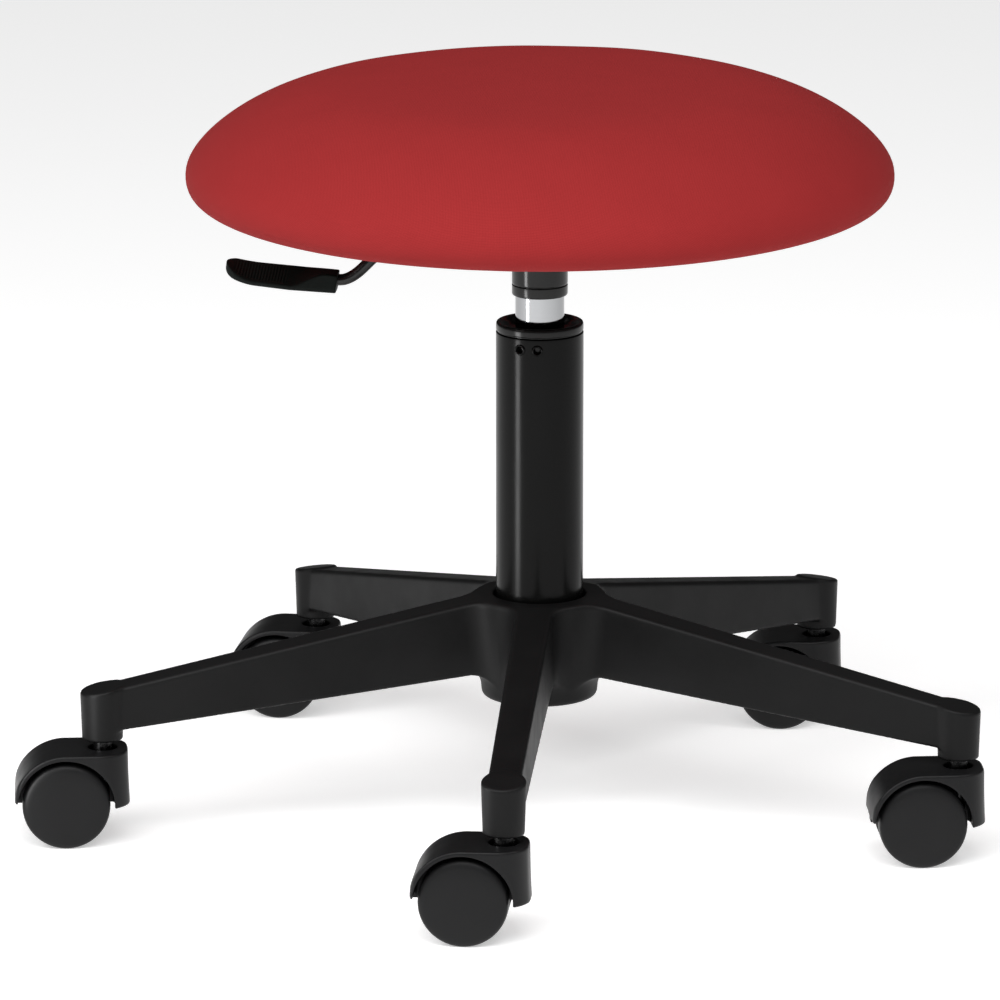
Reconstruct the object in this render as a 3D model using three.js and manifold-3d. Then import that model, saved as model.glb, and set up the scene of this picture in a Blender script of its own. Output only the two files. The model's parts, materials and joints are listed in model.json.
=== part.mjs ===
// Adjustable swivel stool: round upholstered seat on a gas lift, in a five-star base on twin-wheel casters.
// Millimetres, +Z up. The origin is on the floor, under the column's axis. One base arm points along -Y.
import * as THREE from "three";
import { mergeVertices } from "three/addons/utils/BufferGeometryUtils.js";
import Module from "manifold-3d";

const wasm = await Module();
wasm.setup();

// ---- Driving dimensions ----
const GAP = 0.3; // clearance between pieces that touch
const ARMS = 5;
const FIRST_ARM_DEG = -90;
const STEM_CIRCLE = 255.6; // radius on which the caster stems stand

const BORE_R = 25.3; // hub bore round the column tube
const MOUTH_WIDENING = 1.4; // of the bore at the hub's top
const HUB_TOP = 131;
const HUB_BOTTOM = 71;
const ARM_TOP_AT_AXIS = 137.35; // where an arm's sloping top would meet the column's axis
const ARM_TOP_FALL = 0.1853; // mm down for each mm outwards
const ARM_BOTTOM_AT_AXIS = 90.9;
const ARM_BOTTOM_FALL = 0.098;
const ARM_ROOT_R = 56;
const ARM_HALF_WIDTH = 10.9;
const ARM_NARROWING = 0.0094;
const ARM_WALL = 3;
const RIB_HALF = 1.1;
const STEM_HOLE_R = 5.9;
const STEM_HOLE_TOP = 86;
const BOSS_BOTTOM = 60.7;
const BOSS_STEP = 0.5; // height of a caster boss's sloping top above the arm's

const TUBE_R = 25;
const TUBE_WALL = 2.5;
const TUBE_SIDES = 30; // facets of the column and of the hub bore round it
const TUBE_BOTTOM = 69.5;
const TUBE_TOP = 284.6;
const TUBE_FLOOR = 4;
const CAP_TOP = 290.5;
const BUSH_BOTTOM = 205;

// Two small lock holes near the tube's mouth.
const LOCK_DEG = [-112.3, -88.9];
const LOCK_Z = 278.4;
const LOCK_R = 2;

const GAS_R = 14;
const GAS_INNER_R = 12.3;
const GAS_BOTTOM = 94.5;
const GAS_TOP = 328;
const ROD_R = 5;

const SOCKET_R = 16.05;
const SOCKET_BOTTOM = 306;

const SEAT_R = 201;
const SEAT_RIM_Z = 378.4; // height of the seat's widest circle
const SEAT_RISE = 49.4; // from the widest circle to the flat top
const SEAT_DROP = 24.5; // from the widest circle to the flat bottom
const SEAT_TOP_FLAT_R = 112;
const SEAT_BOTTOM_FLAT_R = 96.5;
const SEAT_TOP_POWER = 1.595; // superellipse powers of the two quarter outlines
const SEAT_BOTTOM_POWER = 3.34;
const COVER_THICKNESS = 1.6;
const SEAT_SIDES = 32;
// Turns, from the widest circle, at which the two quarter outlines are drawn.
const SEAT_LOW_DEG = [61.2, 43.2, 25.2, 7.2];
const SEAT_HIGH_DEG = [0, 15, 30, 45, 60, 75, 90];

const BOARD_R = 166;
const BOARD_BOTTOM = 358;
const BOARD_TOP = 370;
const PLATE_BOTTOM = 353.2;
const PLATE_TOP = 356.2;
const PLATE_HALF = 75;
const BOLT_HALF_SPACING = 55;
const BOLT_R = 3;

const LEVER_Z = 339.5; // lever rod's height at its pivot
const LEVER_PIVOT_X = -22;
const LEVER_ROD_R = 3.3;
const PIVOT_PIN_R = 3;

const WHEEL_R = 25;
const WHEEL_TRAIL = 21; // from the stem's axis to the axle
const WHEEL_OUTER_Y = 19.5;
const WHEEL_INNER_Y = 6;
const HOOD_ARCH_R = 30.3;
const HOOD_ARCH_INNER_R = 27.5;
const HOOD_HALF_WIDTH = 21.5;
const HOOD_TOP = 55.5;
const AXLE_R = 3;
// Direction in which each caster trails its stem, in the order of the arms.
const TRAIL_DEG = [179.7, 188.3, 180.0, 176.9, 187.7];

// ---- Materials ----
const BLACK = 0x17171a;
const STEEL = 0xb9bbbe;

function matte(color) {
  return new THREE.MeshStandardMaterial({ color, roughness: 0.6, metalness: 0 });
}

function gloss(color) {
  return new THREE.MeshStandardMaterial({ color, roughness: 0.25, metalness: 0 });
}

function metal(color, roughness) {
  return new THREE.MeshStandardMaterial({ color, roughness, metalness: 1 });
}

// ---- Solids ----

// A manifold solid of a closed geometry, with its faces turned outwards.
function solidOf(geometry) {
  const bare = geometry.clone();
  bare.deleteAttribute("normal");
  bare.deleteAttribute("uv");
  const merged = mergeVertices(bare, 1e-4);
  const corners = merged.index.array;
  const p = merged.attributes.position;
  const [a, b, c] = [new THREE.Vector3(), new THREE.Vector3(), new THREE.Vector3()];
  const kept = [];
  let volume = 0;
  for (let i = 0; i < corners.length; i += 3) {
    const [u, v, w] = corners.slice(i, i + 3);
    if (u === v || v === w || w === u) continue;
    kept.push([u, v, w]);
    a.fromBufferAttribute(p, u);
    b.fromBufferAttribute(p, v);
    c.fromBufferAttribute(p, w);
    volume += a.dot(b.cross(c));
  }
  const faces = volume > 0 ? kept : kept.map(([u, v, w]) => [u, w, v]);
  return new wasm.Manifold(
    new wasm.Mesh({ numProp: 3, vertProperties: p.array, triVerts: new Uint32Array(faces.flat()) }),
  );
}

function join(solids) {
  return solids.reduce((whole, next) => whole.add(next));
}

function cut(solid, tools) {
  return tools.reduce((rest, tool) => rest.subtract(tool), solid);
}

// A body turned about Z from [radius, height] points. The outline closes on itself, or both ends are on the axis.
function turned(outline, segments) {
  const onAxis = outline[0][0] === 0 && outline.at(-1)[0] === 0;
  const ring = onAxis ? outline : [...outline, outline[0]];
  const points = ring.map(([r, z]) => new THREE.Vector2(r, z));
  return solidOf(new THREE.LatheGeometry(points, segments).rotateX(Math.PI / 2));
}

function tube(outerR, innerR, bottom, top, segments) {
  return turned([[innerR, bottom], [outerR, bottom], [outerR, top], [innerR, top]], segments);
}

function rod(radius, bottom, top, segments) {
  return turned([[0, bottom], [radius, bottom], [radius, top], [0, top]], segments);
}

// A box between two corners.
function block(low, high) {
  const size = high.map((value, i) => value - low[i]);
  const middle = high.map((value, i) => (value + low[i]) / 2);
  return solidOf(new THREE.BoxGeometry(...size).translate(...middle));
}

// A rod along Y, centred on (x, z).
function crossRod(radius, x, z, lowY, highY, segments) {
  const bar = new THREE.CylinderGeometry(radius, radius, highY - lowY, segments);
  return solidOf(bar.translate(x, (lowY + highY) / 2, z));
}

// An outline of [x, y] points raised from one height to another.
function raised(outline, bottom, top) {
  const shape = new THREE.Shape(outline.map(([x, y]) => new THREE.Vector2(x, y)));
  const depth = top - bottom;
  return solidOf(new THREE.ExtrudeGeometry(shape, { depth, bevelEnabled: false }).translate(0, 0, bottom));
}

// A side outline of [x, z] points widened along Y from -half to +half.
function widened(outline, half) {
  const shape = new THREE.Shape(outline.map(([x, z]) => new THREE.Vector2(x, z)));
  const slab = new THREE.ExtrudeGeometry(shape, { depth: 2 * half, bevelEnabled: false });
  return solidOf(slab.translate(0, 0, -half).rotateX(Math.PI / 2));
}

// A body through a row of outlines that have the same number of points. The two end outlines are convex.
function loft(outlines) {
  const count = outlines[0].length;
  const index = [];
  for (let step = 0; step + 1 < outlines.length; step++) {
    for (let i = 0; i < count; i++) {
      const here = step * count + i;
      const beside = step * count + ((i + 1) % count);
      index.push(here, beside, beside + count, here, beside + count, here + count);
    }
  }
  const last = (outlines.length - 1) * count;
  for (let i = 1; i + 1 < count; i++) index.push(0, i + 1, i, last, last + i, last + i + 1);
  const geometry = new THREE.BufferGeometry();
  geometry.setAttribute("position", new THREE.Float32BufferAttribute(outlines.flat(2), 3));
  return solidOf(geometry.setIndex(index));
}

function arc(centreX, centreY, radius, fromDeg, toDeg, steps) {
  return Array.from({ length: steps + 1 }, (_, i) => {
    const angle = THREE.MathUtils.degToRad(fromDeg + ((toDeg - fromDeg) * i) / steps);
    return [centreX + radius * Math.cos(angle), centreY + radius * Math.sin(angle)];
  });
}

function roundedSquare(half, radius, steps) {
  const reach = half - radius;
  return [
    ...arc(reach, reach, radius, 0, 90, steps),
    ...arc(-reach, reach, radius, 90, 180, steps),
    ...arc(-reach, -reach, radius, 180, 270, steps),
    ...arc(reach, -reach, radius, 270, 360, steps),
  ];
}

function named(name, solid, material) {
  const made = solid.getMesh();
  const geometry = new THREE.BufferGeometry();
  geometry.setAttribute("position", new THREE.BufferAttribute(made.vertProperties, 3));
  geometry.setIndex(new THREE.BufferAttribute(made.triVerts, 1));
  const mesh = new THREE.Mesh(geometry, material);
  mesh.name = name;
  return mesh;
}

// ---- Five-star base ----

// Heights of an arm's top and underside, this far from the column's axis.
function armTopZ(r) {
  return ARM_TOP_AT_AXIS - ARM_TOP_FALL * r;
}

function armBottomZ(r) {
  return ARM_BOTTOM_AT_AXIS - ARM_BOTTOM_FALL * r;
}

function armHalfWidth(r) {
  return ARM_HALF_WIDTH - ARM_NARROWING * (r - ARM_ROOT_R);
}

// Stations along an arm: distance from the column, half width, and how far its underside dips to meet the hub.
const ARM_STATIONS = [
  [30, 19, 14],
  [37, 16.5, 9],
  [42, 13.6, 3.5],
  [48, 11.6, 0.8],
  [56, 10.9, 0],
  [150, 10, 0],
  [236, 9.2, 0],
  [253, 9, 0],
];

function armSection([r, half, dip]) {
  const top = Math.min(HUB_TOP, armTopZ(r));
  const bottom = armBottomZ(r) - dip;
  const side = [[half, bottom], [half - 1.2, top - 2.2], [half - 3, top]];
  const mirrored = side.map(([y, z]) => [-y, z]).reverse();
  return [...side, ...mirrored].map(([y, z]) => [r, y, z]);
}

// One open pocket under an arm, between two ribs.
function armPocket(fromR, toR) {
  const section = (r, z) => [
    [r, ARM_WALL - armHalfWidth(r), z],
    [r, armHalfWidth(r) - ARM_WALL, z],
  ];
  const ring = (r) => [...section(r, armBottomZ(r) - 20), ...section(r, armTopZ(r) - ARM_WALL - 0.5).reverse()];
  return loft([ring(fromR), ring(toR)]);
}

function arm() {
  const ribs = [52, 98, 146, 194, 240];
  const pockets = ribs.slice(1).map((end, i) => armPocket(ribs[i] + RIB_HALF, end - RIB_HALF));
  return cut(loft(ARM_STATIONS.map(armSection)), pockets);
}

// The round boss for a caster's stem. Its top slopes as the arm's does.
function casterBoss() {
  const reach = 15;
  const column = turned([[0, BOSS_BOTTOM], [11.5, BOSS_BOTTOM], [12.4, HUB_TOP], [0, HUB_TOP]], 16);
  const [inner, outer] = [STEM_CIRCLE - reach, STEM_CIRCLE + reach];
  const kept = [
    [inner, 0], [outer, 0], [outer, armTopZ(outer) + BOSS_STEP], [inner, armTopZ(inner) + BOSS_STEP],
  ];
  return column.translate(STEM_CIRCLE, 0, 0).intersect(widened(kept, reach));
}

function stemHole() {
  return rod(STEM_HOLE_R, BOSS_BOTTOM - 1, STEM_HOLE_TOP, 10).translate(STEM_CIRCLE, 0, 0);
}

function fiveStarBase() {
  const hub = turned(
    [
      [0, HUB_BOTTOM], [30.5, HUB_BOTTOM], [33, HUB_BOTTOM + 2.5], [35.5, 105], [38, HUB_TOP - 3],
      [35.5, HUB_TOP], [0, HUB_TOP],
    ],
    30,
  );
  const turns = Array.from({ length: ARMS }, (_, i) => FIRST_ARM_DEG + (i * 360) / ARMS);
  const ribbedArm = arm();
  const boss = casterBoss();
  const hole = stemHole();
  const body = join([
    hub,
    ...turns.map((deg) => ribbedArm.rotate([0, 0, deg])),
    ...turns.map((deg) => boss.rotate([0, 0, deg])),
  ]);
  const bore = rod(BORE_R, HUB_BOTTOM - 1, HUB_TOP + 5, TUBE_SIDES);
  const mouth = rod(BORE_R + MOUTH_WIDENING, HUB_TOP - 6, HUB_TOP + 5, TUBE_SIDES);
  return cut(body, [bore, mouth, ...turns.map((deg) => hole.rotate([0, 0, deg]))]);
}

// ---- Column ----

function columnTube() {
  const innerR = TUBE_R - TUBE_WALL;
  const barrel = turned(
    [
      [5.5, TUBE_BOTTOM], [TUBE_R - 1.5, TUBE_BOTTOM], [TUBE_R, TUBE_BOTTOM + 1.5], [TUBE_R, TUBE_TOP],
      [innerR, TUBE_TOP], [innerR, TUBE_BOTTOM + TUBE_FLOOR], [5.5, TUBE_BOTTOM + TUBE_FLOOR],
    ],
    TUBE_SIDES,
  );
  const lock = solidOf(new THREE.CylinderGeometry(LOCK_R, LOCK_R, 12, 8).translate(0, TUBE_R, LOCK_Z));
  return cut(barrel, LOCK_DEG.map((deg) => lock.rotate([0, 0, deg - 90])));
}

function guideBush() {
  const sleeveR = TUBE_R - TUBE_WALL - GAP;
  const boreR = GAS_R + 0.4;
  return turned(
    [
      [boreR, BUSH_BOTTOM], [sleeveR, BUSH_BOTTOM], [sleeveR, TUBE_TOP + GAP], [TUBE_R, TUBE_TOP + GAP],
      [TUBE_R, CAP_TOP - 1.8], [TUBE_R - 1.6, CAP_TOP], [TUBE_R - 4.5, CAP_TOP], [17.5, CAP_TOP - 4],
      [boreR, CAP_TOP - 4.5],
    ],
    TUBE_SIDES,
  );
}

// ---- Thrust bearing, rod and piston at the column's foot ----
const BALL_R = 2;
const BALL_CIRCLE = 10.6;
const LOWER_RACE_BOTTOM = TUBE_BOTTOM + TUBE_FLOOR + GAP;
const RACE_THICKNESS = 1.7;
const BALL_Z = LOWER_RACE_BOTTOM + RACE_THICKNESS + GAP + BALL_R;
const UPPER_RACE_BOTTOM = BALL_Z + BALL_R + GAP;
const BUMPER_BOTTOM = UPPER_RACE_BOTTOM + RACE_THICKNESS + GAP;
const PISTON_BOTTOM = 254;

function race(bottom) {
  return tube(15, ROD_R + 0.6, bottom, bottom + RACE_THICKNESS, 20);
}

function ballCage() {
  const cage = tube(14, 7, BALL_Z - 0.7, BALL_Z + 0.7, 20);
  const ball = solidOf(new THREE.SphereGeometry(BALL_R, 6, 4).translate(BALL_CIRCLE, 0, BALL_Z));
  const balls = Array.from({ length: 6 }, (_, i) => ball.rotate([0, 0, i * 60]));
  return join([cage, ...balls]);
}

function rubberBumper() {
  const top = GAS_BOTTOM - 1;
  return turned(
    [
      [ROD_R + 0.5, BUMPER_BOTTOM], [12, BUMPER_BOTTOM], [12, BUMPER_BOTTOM + 4], [9.5, BUMPER_BOTTOM + 6],
      [11, top], [ROD_R + 0.5, top],
    ],
    20,
  );
}

function pistonRod() {
  const foot = TUBE_BOTTOM - 5.5;
  const groove = [TUBE_BOTTOM - 3.6, TUBE_BOTTOM - 1.9];
  return turned(
    [
      [0, foot], [ROD_R, foot], [ROD_R, groove[0]], [3.8, groove[0]], [3.8, groove[1]], [ROD_R, groove[1]],
      [ROD_R, PISTON_BOTTOM - GAP], [0, PISTON_BOTTOM - GAP],
    ],
    16,
  );
}

function piston() {
  return turned(
    [
      [0, PISTON_BOTTOM], [11.2, PISTON_BOTTOM], [11.9, PISTON_BOTTOM + 1.5], [11.9, PISTON_BOTTOM + 10],
      [11.2, PISTON_BOTTOM + 12], [0, PISTON_BOTTOM + 12],
    ],
    20,
  );
}

function spacerWasher() {
  return tube(11, ROD_R + 0.4, TUBE_BOTTOM - 1.6, TUBE_BOTTOM - GAP, 20);
}

function retainingClip() {
  const clip = tube(9, 4.1, TUBE_BOTTOM - 3.3, TUBE_BOTTOM - 2.1, 16);
  const mouth = block([0, -3, TUBE_BOTTOM - 5], [12, 3, TUBE_BOTTOM]);
  return cut(clip, [mouth]);
}

// ---- Gas cylinder ----

function gasCylinder() {
  const lipR = 7;
  return turned(
    [
      [lipR, GAS_BOTTOM], [GAS_R, GAS_BOTTOM], [GAS_R, SOCKET_BOTTOM - 2], [GAS_R - 0.5, GAS_TOP],
      [lipR, GAS_TOP], [lipR, GAS_TOP - 2.5], [GAS_INNER_R, GAS_TOP - 3], [GAS_INNER_R, GAS_BOTTOM + 3],
      [lipR, GAS_BOTTOM + 2.5],
    ],
    24,
  );
}

function rodGuideSeal() {
  return tube(GAS_INNER_R - GAP, ROD_R + 0.4, GAS_BOTTOM + 3.4, GAS_BOTTOM + 25, 20);
}

const VALVE_TOP = GAS_TOP - 3.4;
const PIN_R = 2.2;

function valveBody() {
  return turned(
    [
      [0, 298], [GAS_INNER_R - GAP, 298], [GAS_INNER_R - GAP, VALVE_TOP], [6.6, VALVE_TOP], [6.6, GAS_TOP + 1],
      [PIN_R + 0.4, GAS_TOP + 1], [PIN_R + 0.4, 312], [0, 312],
    ],
    20,
  );
}

function releasePin() {
  const top = LEVER_Z - LEVER_ROD_R - GAP;
  return turned([[0, 317], [PIN_R, 317], [PIN_R, top - 1.5], [3.4, top - 1.5], [3.4, top], [0, top]], 14);
}

function taperSocket() {
  const top = PLATE_BOTTOM - GAP;
  const shell = turned(
    [
      [GAS_R + 0.3, SOCKET_BOTTOM], [SOCKET_R - 1.6, SOCKET_BOTTOM], [SOCKET_R, SOCKET_BOTTOM + 1.6],
      [SOCKET_R, top], [GAS_R - 0.1, top], [GAS_R - 0.1, GAS_TOP - 1],
    ],
    24,
  );
  const leverSlot = block([-20, -5, LEVER_Z - 8], [-8, 5, LEVER_Z + 6.5]);
  return cut(shell, [leverSlot]);
}

// ---- Seat fittings ----

function boltPlaces() {
  return [[1, 1], [-1, 1], [-1, -1], [1, -1]].map(([x, y]) => [x * BOLT_HALF_SPACING, y * BOLT_HALF_SPACING]);
}

function seatPlate() {
  const plate = raised(roundedSquare(PLATE_HALF, 12, 3), PLATE_BOTTOM, PLATE_TOP);
  const rim = cut(raised(roundedSquare(PLATE_HALF, 12, 3), PLATE_BOTTOM - 5, PLATE_BOTTOM + 0.5), [
    raised(roundedSquare(PLATE_HALF - 2.5, 9.5, 3), PLATE_BOTTOM - 6, PLATE_BOTTOM + 1),
  ]);
  const ears = [-10, 7].map((y) => block([-28, y, LEVER_Z - 6], [-16.6, y + 3, PLATE_BOTTOM + 0.5]));
  const holes = boltPlaces().map(([x, y]) =>
    rod(BOLT_R + 0.5, PLATE_BOTTOM - 1, PLATE_TOP + 1, 10).translate(x, y, 0),
  );
  const pinHole = crossRod(PIVOT_PIN_R + 0.35, LEVER_PIVOT_X, LEVER_Z, -12, 12, 14);
  return cut(join([plate, rim, ...ears]), [...holes, pinHole]);
}

function leverPivotPin() {
  const shank = crossRod(PIVOT_PIN_R, LEVER_PIVOT_X, LEVER_Z, -12, 12, 14);
  const head = crossRod(PIVOT_PIN_R + 1.5, LEVER_PIVOT_X, LEVER_Z, -12, -10.4, 14);
  return join([shank, head]);
}

function seatBolt() {
  const headTop = PLATE_BOTTOM - GAP;
  const head = rod(5.77, headTop - 4, headTop, 6);
  return join([head, rod(BOLT_R, headTop - 1, BOARD_TOP - 1, 10)]);
}

const NUT_FLANGE_R = 9.5;

function teeNut() {
  const flange = BOARD_TOP - 1.7;
  return turned(
    [
      [BOLT_R + GAP, BOARD_BOTTOM + 2], [4.2, BOARD_BOTTOM + 2], [4.2, flange], [NUT_FLANGE_R, flange],
      [NUT_FLANGE_R, flange + 1.4], [BOLT_R + GAP, flange + 1.4],
    ],
    12,
  );
}

function seatBoard() {
  const board = turned(
    [
      [0, BOARD_BOTTOM], [BOARD_R - 1.5, BOARD_BOTTOM], [BOARD_R, BOARD_BOTTOM + 1.5], [BOARD_R, BOARD_TOP - 2],
      [BOARD_R - 2, BOARD_TOP], [0, BOARD_TOP],
    ],
    SEAT_SIDES,
  );
  const drilled = boltPlaces().flatMap(([x, y]) => [
    rod(4.6, BOARD_BOTTOM - 1, BOARD_TOP + 1, 10).translate(x, y, 0),
    rod(NUT_FLANGE_R + 0.4, BOARD_TOP - 2, BOARD_TOP + 1, 12).translate(x, y, 0),
  ]);
  return cut(board, drilled);
}

function underCover() {
  const sheet = rod(150, BOARD_BOTTOM - 1.4, BOARD_BOTTOM - GAP, 32);
  const holes = boltPlaces().map(([x, y]) => rod(4, BOARD_BOTTOM - 2, BOARD_BOTTOM, 8).translate(x, y, 0));
  return cut(sheet, holes);
}

// One quarter of the seat's half outline: from its widest circle, at 0 degrees, to its flat, at 90.
function seatQuarter(flatR, rise, power, inset, degrees) {
  return degrees.map((deg) => {
    const turn = THREE.MathUtils.degToRad(deg);
    const out = (SEAT_R - inset - flatR) * Math.cos(turn) ** (2 / power);
    return [flatR + out, SEAT_RIM_Z + rise * Math.sin(turn) ** (2 / power)];
  });
}

// The seat's half outline, this far inside its fabric, from the hem round the rim to the flat top.
function seatOutline(inset) {
  return [
    ...seatQuarter(SEAT_BOTTOM_FLAT_R, inset - SEAT_DROP, SEAT_BOTTOM_POWER, inset, SEAT_LOW_DEG),
    ...seatQuarter(SEAT_TOP_FLAT_R, SEAT_RISE - inset, SEAT_TOP_POWER, inset, SEAT_HIGH_DEG),
  ];
}

function foamCushion() {
  const boardGap = 0.5;
  const roundBoard = BOARD_R + boardGap;
  const outline = seatOutline(COVER_THICKNESS + boardGap).filter(([r, z]) => r > BOARD_R + 2 || z > SEAT_RIM_Z);
  const low = outline[0][1];
  const top = outline.at(-1)[1];
  return turned(
    [[0, BOARD_TOP + GAP], [roundBoard, BOARD_TOP + GAP], [roundBoard, low], ...outline, [0, top]],
    SEAT_SIDES,
  );
}

function seatCover() {
  const outside = seatOutline(0);
  const inside = seatOutline(COVER_THICKNESS).reverse();
  const crown = [0, outside.at(-1)[1]];
  return turned([...outside, crown, [0, inside[0][1]], ...inside], SEAT_SIDES);
}

// ---- Lever ----

function leverRod() {
  const route = new THREE.CatmullRomCurve3(
    [
      [3, LEVER_Z], [-12, LEVER_Z], [-40, 339.2], [-72, 338.2], [-83.5, 335], [-93.8, 326.5],
      [-103.6, 317], [-110.4, 312.9], [-116.4, 312.3], [-123.8, 313.1],
    ].map(([x, z]) => new THREE.Vector3(x, 0, z)),
    false,
    "centripetal",
  );
  const section = new THREE.Shape().absarc(0, 0, LEVER_ROD_R, 0, 2 * Math.PI);
  const bar = solidOf(
    new THREE.ExtrudeGeometry(section, { steps: 20, curveSegments: 5, bevelEnabled: false, extrudePath: route }),
  );
  const eye = crossRod(5.5, LEVER_PIVOT_X, LEVER_Z, -6, 6, 16);
  const bore = crossRod(PIVOT_PIN_R + 0.35, LEVER_PIVOT_X, LEVER_Z, -7, 7, 14);
  return cut(join([bar, eye]), [bore]);
}

// Stations of the lever's paddle along its length: distance from its inner end, half depth, near and far top, bottom.
const PADDLE_STATIONS = [
  [0, 8, 4.6, 4.6, -6.7],
  [9.5, 8.3, 4, 4.3, -7.1],
  [24, 8.9, -4.4, 3.9, -7.9],
  [46, 9, -4.9, 3.3, -8],
  [58, 8.2, -1.3, 3.7, -6],
  [64, 5, 2, 4, -2.2],
];
const PADDLE_RISE_DEG = 6.3;
const PADDLE_START = [-115.4, 312];
const PADDLE_BORE_DEPTH = 9;
const PADDLE_BORE_UP = 0.2;

function leverHandle() {
  const section = ([along, half, nearTop, farTop, bottom]) => [
    [-along, -half, bottom + 1.4],
    [-along, -half, nearTop],
    [-along, -half + 2, nearTop + 0.2],
    [-along, half - 2, farTop],
    [-along, half, farTop - 0.8],
    [-along, half, bottom + 1.4],
    [-along, half - 2, bottom],
    [-along, -half + 2, bottom],
  ];
  const bar = loft(PADDLE_STATIONS.map(section));
  const boreR = LEVER_ROD_R + 0.4;
  const bore = new THREE.CylinderGeometry(boreR, boreR, 2 * PADDLE_BORE_DEPTH, 12)
    .rotateZ(Math.PI / 2)
    .translate(0, 0, PADDLE_BORE_UP);
  const bored = cut(bar, [solidOf(bore)]);
  return bored.rotate([0, PADDLE_RISE_DEG, 0]).translate(PADDLE_START[0], 0, PADDLE_START[1]);
}

// ---- Caster, with its stem on the Z axis and its wheels towards +X ----

function hoodSide() {
  return [
    [-13.6, 23.5],
    ...arc(-8.6, HOOD_TOP - 6, 6, 180, 90, 3),
    ...arc(WHEEL_TRAIL, WHEEL_R, HOOD_ARCH_R, 90, 4, 7),
    ...arc(WHEEL_TRAIL, WHEEL_R, HOOD_ARCH_INNER_R, 4, 180, 10),
    [WHEEL_TRAIL - HOOD_ARCH_INNER_R, 23.5],
  ];
}

function hoodPlan() {
  const end = WHEEL_TRAIL + HOOD_ARCH_R + 1;
  const half = HOOD_HALF_WIDTH;
  return [
    ...arc(end - 7, -half + 7, 7, 270, 360, 2),
    ...arc(end - 7, half - 7, 7, 0, 90, 2),
    ...arc(3, half - 19, 19, 90, 145, 3),
    ...arc(3, 19 - half, 19, 215, 270, 3),
  ];
}

function casterHood() {
  const arch = widened(hoodSide(), 25).intersect(raised(hoodPlan(), 10, 70));
  const webHalf = WHEEL_INNER_Y - 0.7;
  const web = widened(
    [...arc(WHEEL_TRAIL, WHEEL_R, 28.6, 8, 180, 8), ...arc(WHEEL_TRAIL, WHEEL_R, 9, 210, 330, 4)],
    webHalf,
  );
  const stemBore = rod(4.4, 30, HOOD_TOP + 1, 10);
  const recess = rod(7.2, HOOD_TOP - 5, HOOD_TOP + 1, 14);
  const axleHole = crossRod(AXLE_R + 0.3, WHEEL_TRAIL, WHEEL_R, -9, 9, 12);
  return cut(join([arch, web]), [stemBore, recess, axleHole]);
}

function casterStem() {
  return turned(
    [
      [0, 30.6], [4, 30.6], [4, 51], [5.2, 51.5], [5.2, 68], [4.4, 69.5], [5.5, 72.5], [4.4, 75.5], [4.4, 85],
      [0, 85],
    ],
    10,
  );
}

function casterAxle() {
  return crossRod(AXLE_R, WHEEL_TRAIL, WHEEL_R, -16.2, 16.2, 12);
}

const WHEEL_SIDES = 18;

// One wheel, turned about Y, with a flat of its tread on the floor. Side is 1 towards +Y and -1 towards -Y.
function casterWheel(side) {
  const rim = WHEEL_R / Math.cos(Math.PI / WHEEL_SIDES);
  const disc = turned(
    [
      [0, WHEEL_OUTER_Y], [15, WHEEL_OUTER_Y - 0.6], [21.5, WHEEL_OUTER_Y - 2.2], [rim, WHEEL_OUTER_Y - 5.5],
      [rim, WHEEL_INNER_Y + 1], [rim - 1.2, WHEEL_INNER_Y], [AXLE_R + 0.3, WHEEL_INNER_Y],
      [AXLE_R + 0.3, 16.6], [0, 16.6],
    ],
    WHEEL_SIDES,
  );
  return disc
    .rotate([0, 0, 180 / WHEEL_SIDES])
    .rotate([-90, 0, 0])
    .rotate([0, 0, side > 0 ? 0 : 180])
    .translate(WHEEL_TRAIL, 0, WHEEL_R);
}

function caster(number) {
  const prefix = "caster_" + number + "_";
  const made = new THREE.Group();
  made.add(
    named(prefix + "hood", casterHood(), matte(BLACK)),
    named(prefix + "stem", casterStem(), metal(STEEL, 0.35)),
    named(prefix + "axle", casterAxle(), metal(STEEL, 0.35)),
    named(prefix + "wheel_a", casterWheel(1), matte(BLACK)),
    named(prefix + "wheel_b", casterWheel(-1), matte(BLACK)),
  );
  const armAngle = THREE.MathUtils.degToRad(FIRST_ARM_DEG + ((number - 1) * 360) / ARMS);
  made.position.set(STEM_CIRCLE * Math.cos(armAngle), STEM_CIRCLE * Math.sin(armAngle), 0);
  made.rotation.z = THREE.MathUtils.degToRad(TRAIL_DEG[number - 1]);
  return made;
}

// ---- Whole stool ----

const group = new THREE.Group();

const stand = new THREE.Group();
stand.add(
  named("five_star_base", fiveStarBase(), matte(BLACK)),
  named("column_tube", columnTube(), matte(BLACK)),
  named("guide_bush", guideBush(), gloss(BLACK)),
  named("bearing_lower_race", race(LOWER_RACE_BOTTOM), metal(STEEL, 0.3)),
  named("ball_cage", ballCage(), metal(STEEL, 0.2)),
);
group.add(stand);

const spindle = new THREE.Group();
spindle.add(
  named("bearing_upper_race", race(UPPER_RACE_BOTTOM), metal(STEEL, 0.3)),
  named("piston_rod", pistonRod(), metal(0xd8d9db, 0.15)),
  named("piston", piston(), metal(STEEL, 0.4)),
  named("rubber_bumper", rubberBumper(), matte(BLACK)),
  named("spacer_washer", spacerWasher(), metal(STEEL, 0.4)),
  named("retaining_clip", retainingClip(), metal(STEEL, 0.4)),
);
group.add(spindle);

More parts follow.
